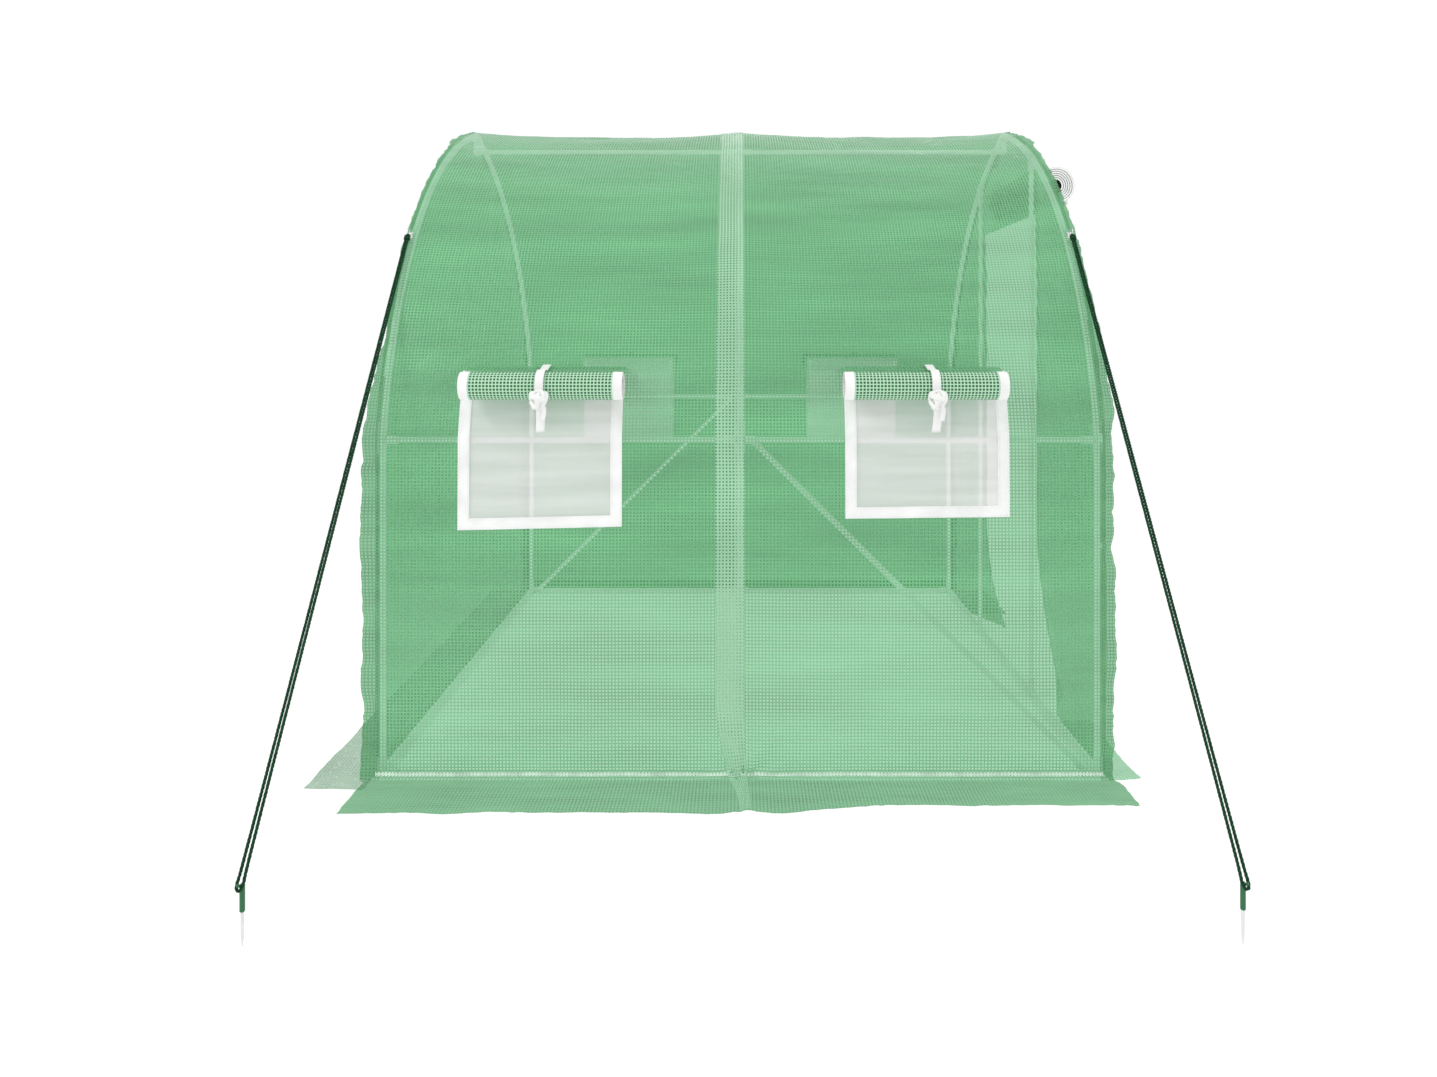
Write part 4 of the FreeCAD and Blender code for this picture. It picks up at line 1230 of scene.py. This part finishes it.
def slider(label):
    """A zip's slider: two plates, the bridge over them and a pull on a wire loop."""
    low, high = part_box(f"zip_slider_{label}")
    body_x = low.x + 0.0002
    middle_y = (low.y + high.y) / 2
    top = high.z
    profile_points = [
        (-0.0050, 0.0), (-0.0060, -0.006), (-0.0056, -0.013), (-0.0036, -0.0195),
        (0.0036, -0.0195), (0.0056, -0.013), (0.0060, -0.006), (0.0050, 0.0),
    ]
    parts = []
    for inset, near, far in ((0.0, 0.0, 0.0012), (0.0004, 0.0028, 0.0042)):
        verts = []
        for depth in (near, far):
            for y, z in profile_points:
                verts.append(Vector((body_x + depth, middle_y + y * (1 - 60 * inset), top + z - inset)))
        parts.append((verts, rows_joined(2, len(profile_points))))
    bridge = [(0.0042, 0.004), (0.0056, 0.006), (0.0058, 0.013), (0.0042, 0.016)]
    post = [(0.0006, 0.002), (0.0036, 0.002)]
    for line, radius in ((bridge, 0.0009), (post, 0.0016)):
        points = [(body_x + out, middle_y, top - down) for out, down in line]
        parts.append(tube_mesh(points, radius, 8))
    loop = []
    for n in range(33):
        turn = 2 * pi * n / 32
        stretch = 0.020 * sin(turn)
        loop.append(Vector((body_x + 0.0050, middle_y + 0.0030 * cos(turn) * (1 + 0.2 * sin(turn)),
                            top - 0.0325 + stretch)))
    parts.append(tube_mesh(loop, 0.0009, 6, False))
    plate = lathe([(0.0005, 0.0), (0.0030, 0.002), (0.0034, 0.010), (0.0024, 0.0125), (0.0005, 0.013)],
                  (0, 0, 0), 16)
    flat = [Vector((body_x + 0.0050 + v.x * 0.18, middle_y + v.y, low.z + 0.0010 + v.z)) for v in plate[0]]
    parts.append((flat, plate[1]))
    piece = new_object(f"slider_{label}", *joined(parts), slider_steel)
    place(piece, f"zip_slider_{label}", "slider_steel", f"zip_slider_{label}")


for slider_label in SIDES.values():
    slider(slider_label)

# ---- guy rings, stakes

RINGS = {"closed": Vector((-1.008, -0.74724, 1.54939)), "door": Vector((1.008, -0.74724, 1.54939))}
STAKE_FEET = {"closed": Vector((-1.008, -1.752, 0.0)), "door": Vector((1.022, -1.745, 0.0))}


def ring_and_tab(end):
    """The ring that the rope is tied to, on a loop of webbing sewn to the cover."""
    centre = RINGS[end]
    loop = []
    for n in range(41):
        turn = 2 * pi * n / 40
        loop.append(centre + Vector((0, 0.011 * cos(turn), 0.011 * sin(turn))))
    ring = new_object(f"guy_ring_{end}", *tube_mesh(loop, 0.0016, 10, False), ring_steel)
    out = Vector((0, -0.80, 0.60))
    root = centre - out * 0.010
    down = Vector((0, -0.60, -0.80))
    path = [root + down * 0.030 - out * 0.0105, root + down * 0.012 - out * 0.006, root - out * 0.001,
            root + out * 0.0025 - down * 0.001, root - out * 0.001 - down * 0.004,
            root - down * 0.014 - out * 0.0075, root - down * 0.030 - out * 0.0105]
    tab, length = ribbon(f"guy_tab_{end}", path, 0.018, (1, 0, 0))
    start, second, last = (Vector(ROPE_ROUTES[end][n]) for n in (0, 1, -1))
    down_rope = (second - start).normalized()
    middle = (start + last) / 2
    along_x = Vector((1, 0, 0))
    wraps = []
    for n in range(61):
        turn = 2 * pi * n / 10
        at = middle + down_rope * (0.0005 + 0.014 * n / 60)
        depth = down_rope.cross(along_x).normalized() * sin(turn) * 0.0048
        wraps.append(at + along_x * cos(turn) * 0.0085 + depth)
    eye = []
    for n in range(25):
        turn = pi * (n / 24 * 1.1 - 0.05)
        eye.append(middle + along_x * 0.0036 * cos(turn) - down_rope * 0.0065 * sin(turn))
    turns = joined([tube_mesh(wraps, 0.0015, 6), tube_mesh(eye, 0.0026, 7)])
    knot = new_object(f"guy_knot_{end}", *turns, rope_green)
    for piece, slot in ((ring, "ring_steel"), (tab, "strap_white"), (knot, "rope_green")):
        place(piece, "root", slot)
    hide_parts("guy_rings")
    return knot


def stake(end):
    """A steel pin with a ribbed green sleeve and a hook; the sleeve is what the rope meets."""
    foot = STAKE_FEET[end]
    pin = [(0.0006, 0.0005), (0.0018, 0.006), (0.0031, 0.016), (0.0034, 0.030), (0.0034, 0.074)]
    shaft = new_object(f"stake_pin_{end}", *lathe(pin, foot, 18), pin_steel)
    ribs = [(0.0036, 0.0698), (0.0050, 0.0702), (0.0055, 0.0715)]
    z = 0.0725
    while z < 0.1205:
        ribs += [(0.0056, z), (0.0049, z + 0.0009), (0.0049, z + 0.0021), (0.0056, z + 0.0030)]
        z += 0.0042
    ribs += [(0.0056, 0.1225), (0.0050, 0.1250), (0.0030, 0.1259), (0.0004, 0.1260)]
    sleeve = lathe(ribs, foot, 24)
    out = Vector((0, -0.8204, 0.5718) if end == "door" else (0, -0.82, 0.575))
    hook_root = foot + Vector((0, 0, 0.118))
    rise = Vector((0, 0, 0.0012))
    neck = [hook_root + out * (0.0245 * n / 12) + rise * sin(pi * n / 12) for n in range(13)]
    lip = hook_root + out * 0.0235
    curl = [neck[-1] - out * 0.002, lip + Vector((0, -0.0004, 0.0016)), lip + Vector((0, 0.0006, 0.0040))]
    hook = joined([sleeve, tube_mesh(neck, lambda t: 0.0031 - 0.0004 * t, 12),
                   tube_mesh(curl, lambda t: 0.0030 - 0.0010 * t, 12)])
    body = new_object(f"stake_sleeve_{end}", *hook, stake_green)
    for piece in (shaft, body):
        place(piece, "root", "stake_green", "guy_stakes")
    return body


for end_name, (rope, rope_length, rope_path) in ropes.items():
    knot = ring_and_tab(end_name)
    sleeve = stake(end_name)
    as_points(rope_path)

# The film is thin and bright all over, so it takes no light from what is inside.
for piece in bpy.data.objects:
    if piece.name.startswith(("cover_", "skirt_", "centre_band", "door_jamb", "window_mesh")):
        piece.visible_shadow = False
        piece.visible_diffuse = False

# ---- CAD pieces that stay

for node_name, node in NODES.items():
    if node.hide_render:
        continue
    if "screw" in node_name:
        chosen = screw_steel
    elif "connector" in node_name or node_name == "feet":
        chosen = connector_white
    else:
        chosen = frame_white
    for material_slot in node.material_slots:
        material_slot.material = chosen
    if not node.material_slots:
        node.data.materials.append(chosen)

# ---- floor and light

floor_mesh = bpy.data.meshes.new("studio_floor")
floor_mesh.from_pydata([(-40, -40, 0), (40, -40, 0), (40, 40, 0), (-40, 40, 0)], [], [(0, 1, 2, 3)])
floor_nodes = Nodes("studio_floor", Roughness=0.9, Base_Color=(0.72, 0.72, 0.72, 1),
                    Emission_Color=(1, 1, 1, 1), Emission_Strength=0.26)
floor_mesh.materials.append(floor_nodes.material)
floor = bpy.data.objects.new("studio_floor", floor_mesh)
bpy.context.scene.collection.objects.link(floor)

world = bpy.data.worlds.new("studio")
bpy.context.scene.world = world
world.use_nodes = True
world.node_tree.nodes["Background"].inputs["Color"].default_value = (1, 1, 1, 1)
world.node_tree.nodes["Background"].inputs["Strength"].default_value = 1.0


def softbox(name, location, target, size, power):
    light = bpy.data.lights.new(name, "AREA")
    light.shape = "RECTANGLE"
    light.size, light.size_y = size
    light.energy = power
    holder = bpy.data.objects.new(name, light)
    bpy.context.scene.collection.objects.link(holder)
    holder.location = location
    holder.rotation_euler = (Vector(target) - Vector(location)).to_track_quat("-Z", "Y").to_euler()
    holder.visible_camera = False


softbox("softbox_left", (-4.0, -3.0, 4.2), (0, 0, 1.0), (1.2, 1.2), 60)
softbox("softbox_right", (4.5, -1.0, 4.0), (0, 0, 1.0), (1.0, 1.0), 40)

bpy.context.scene.view_settings.view_transform = "Standard"
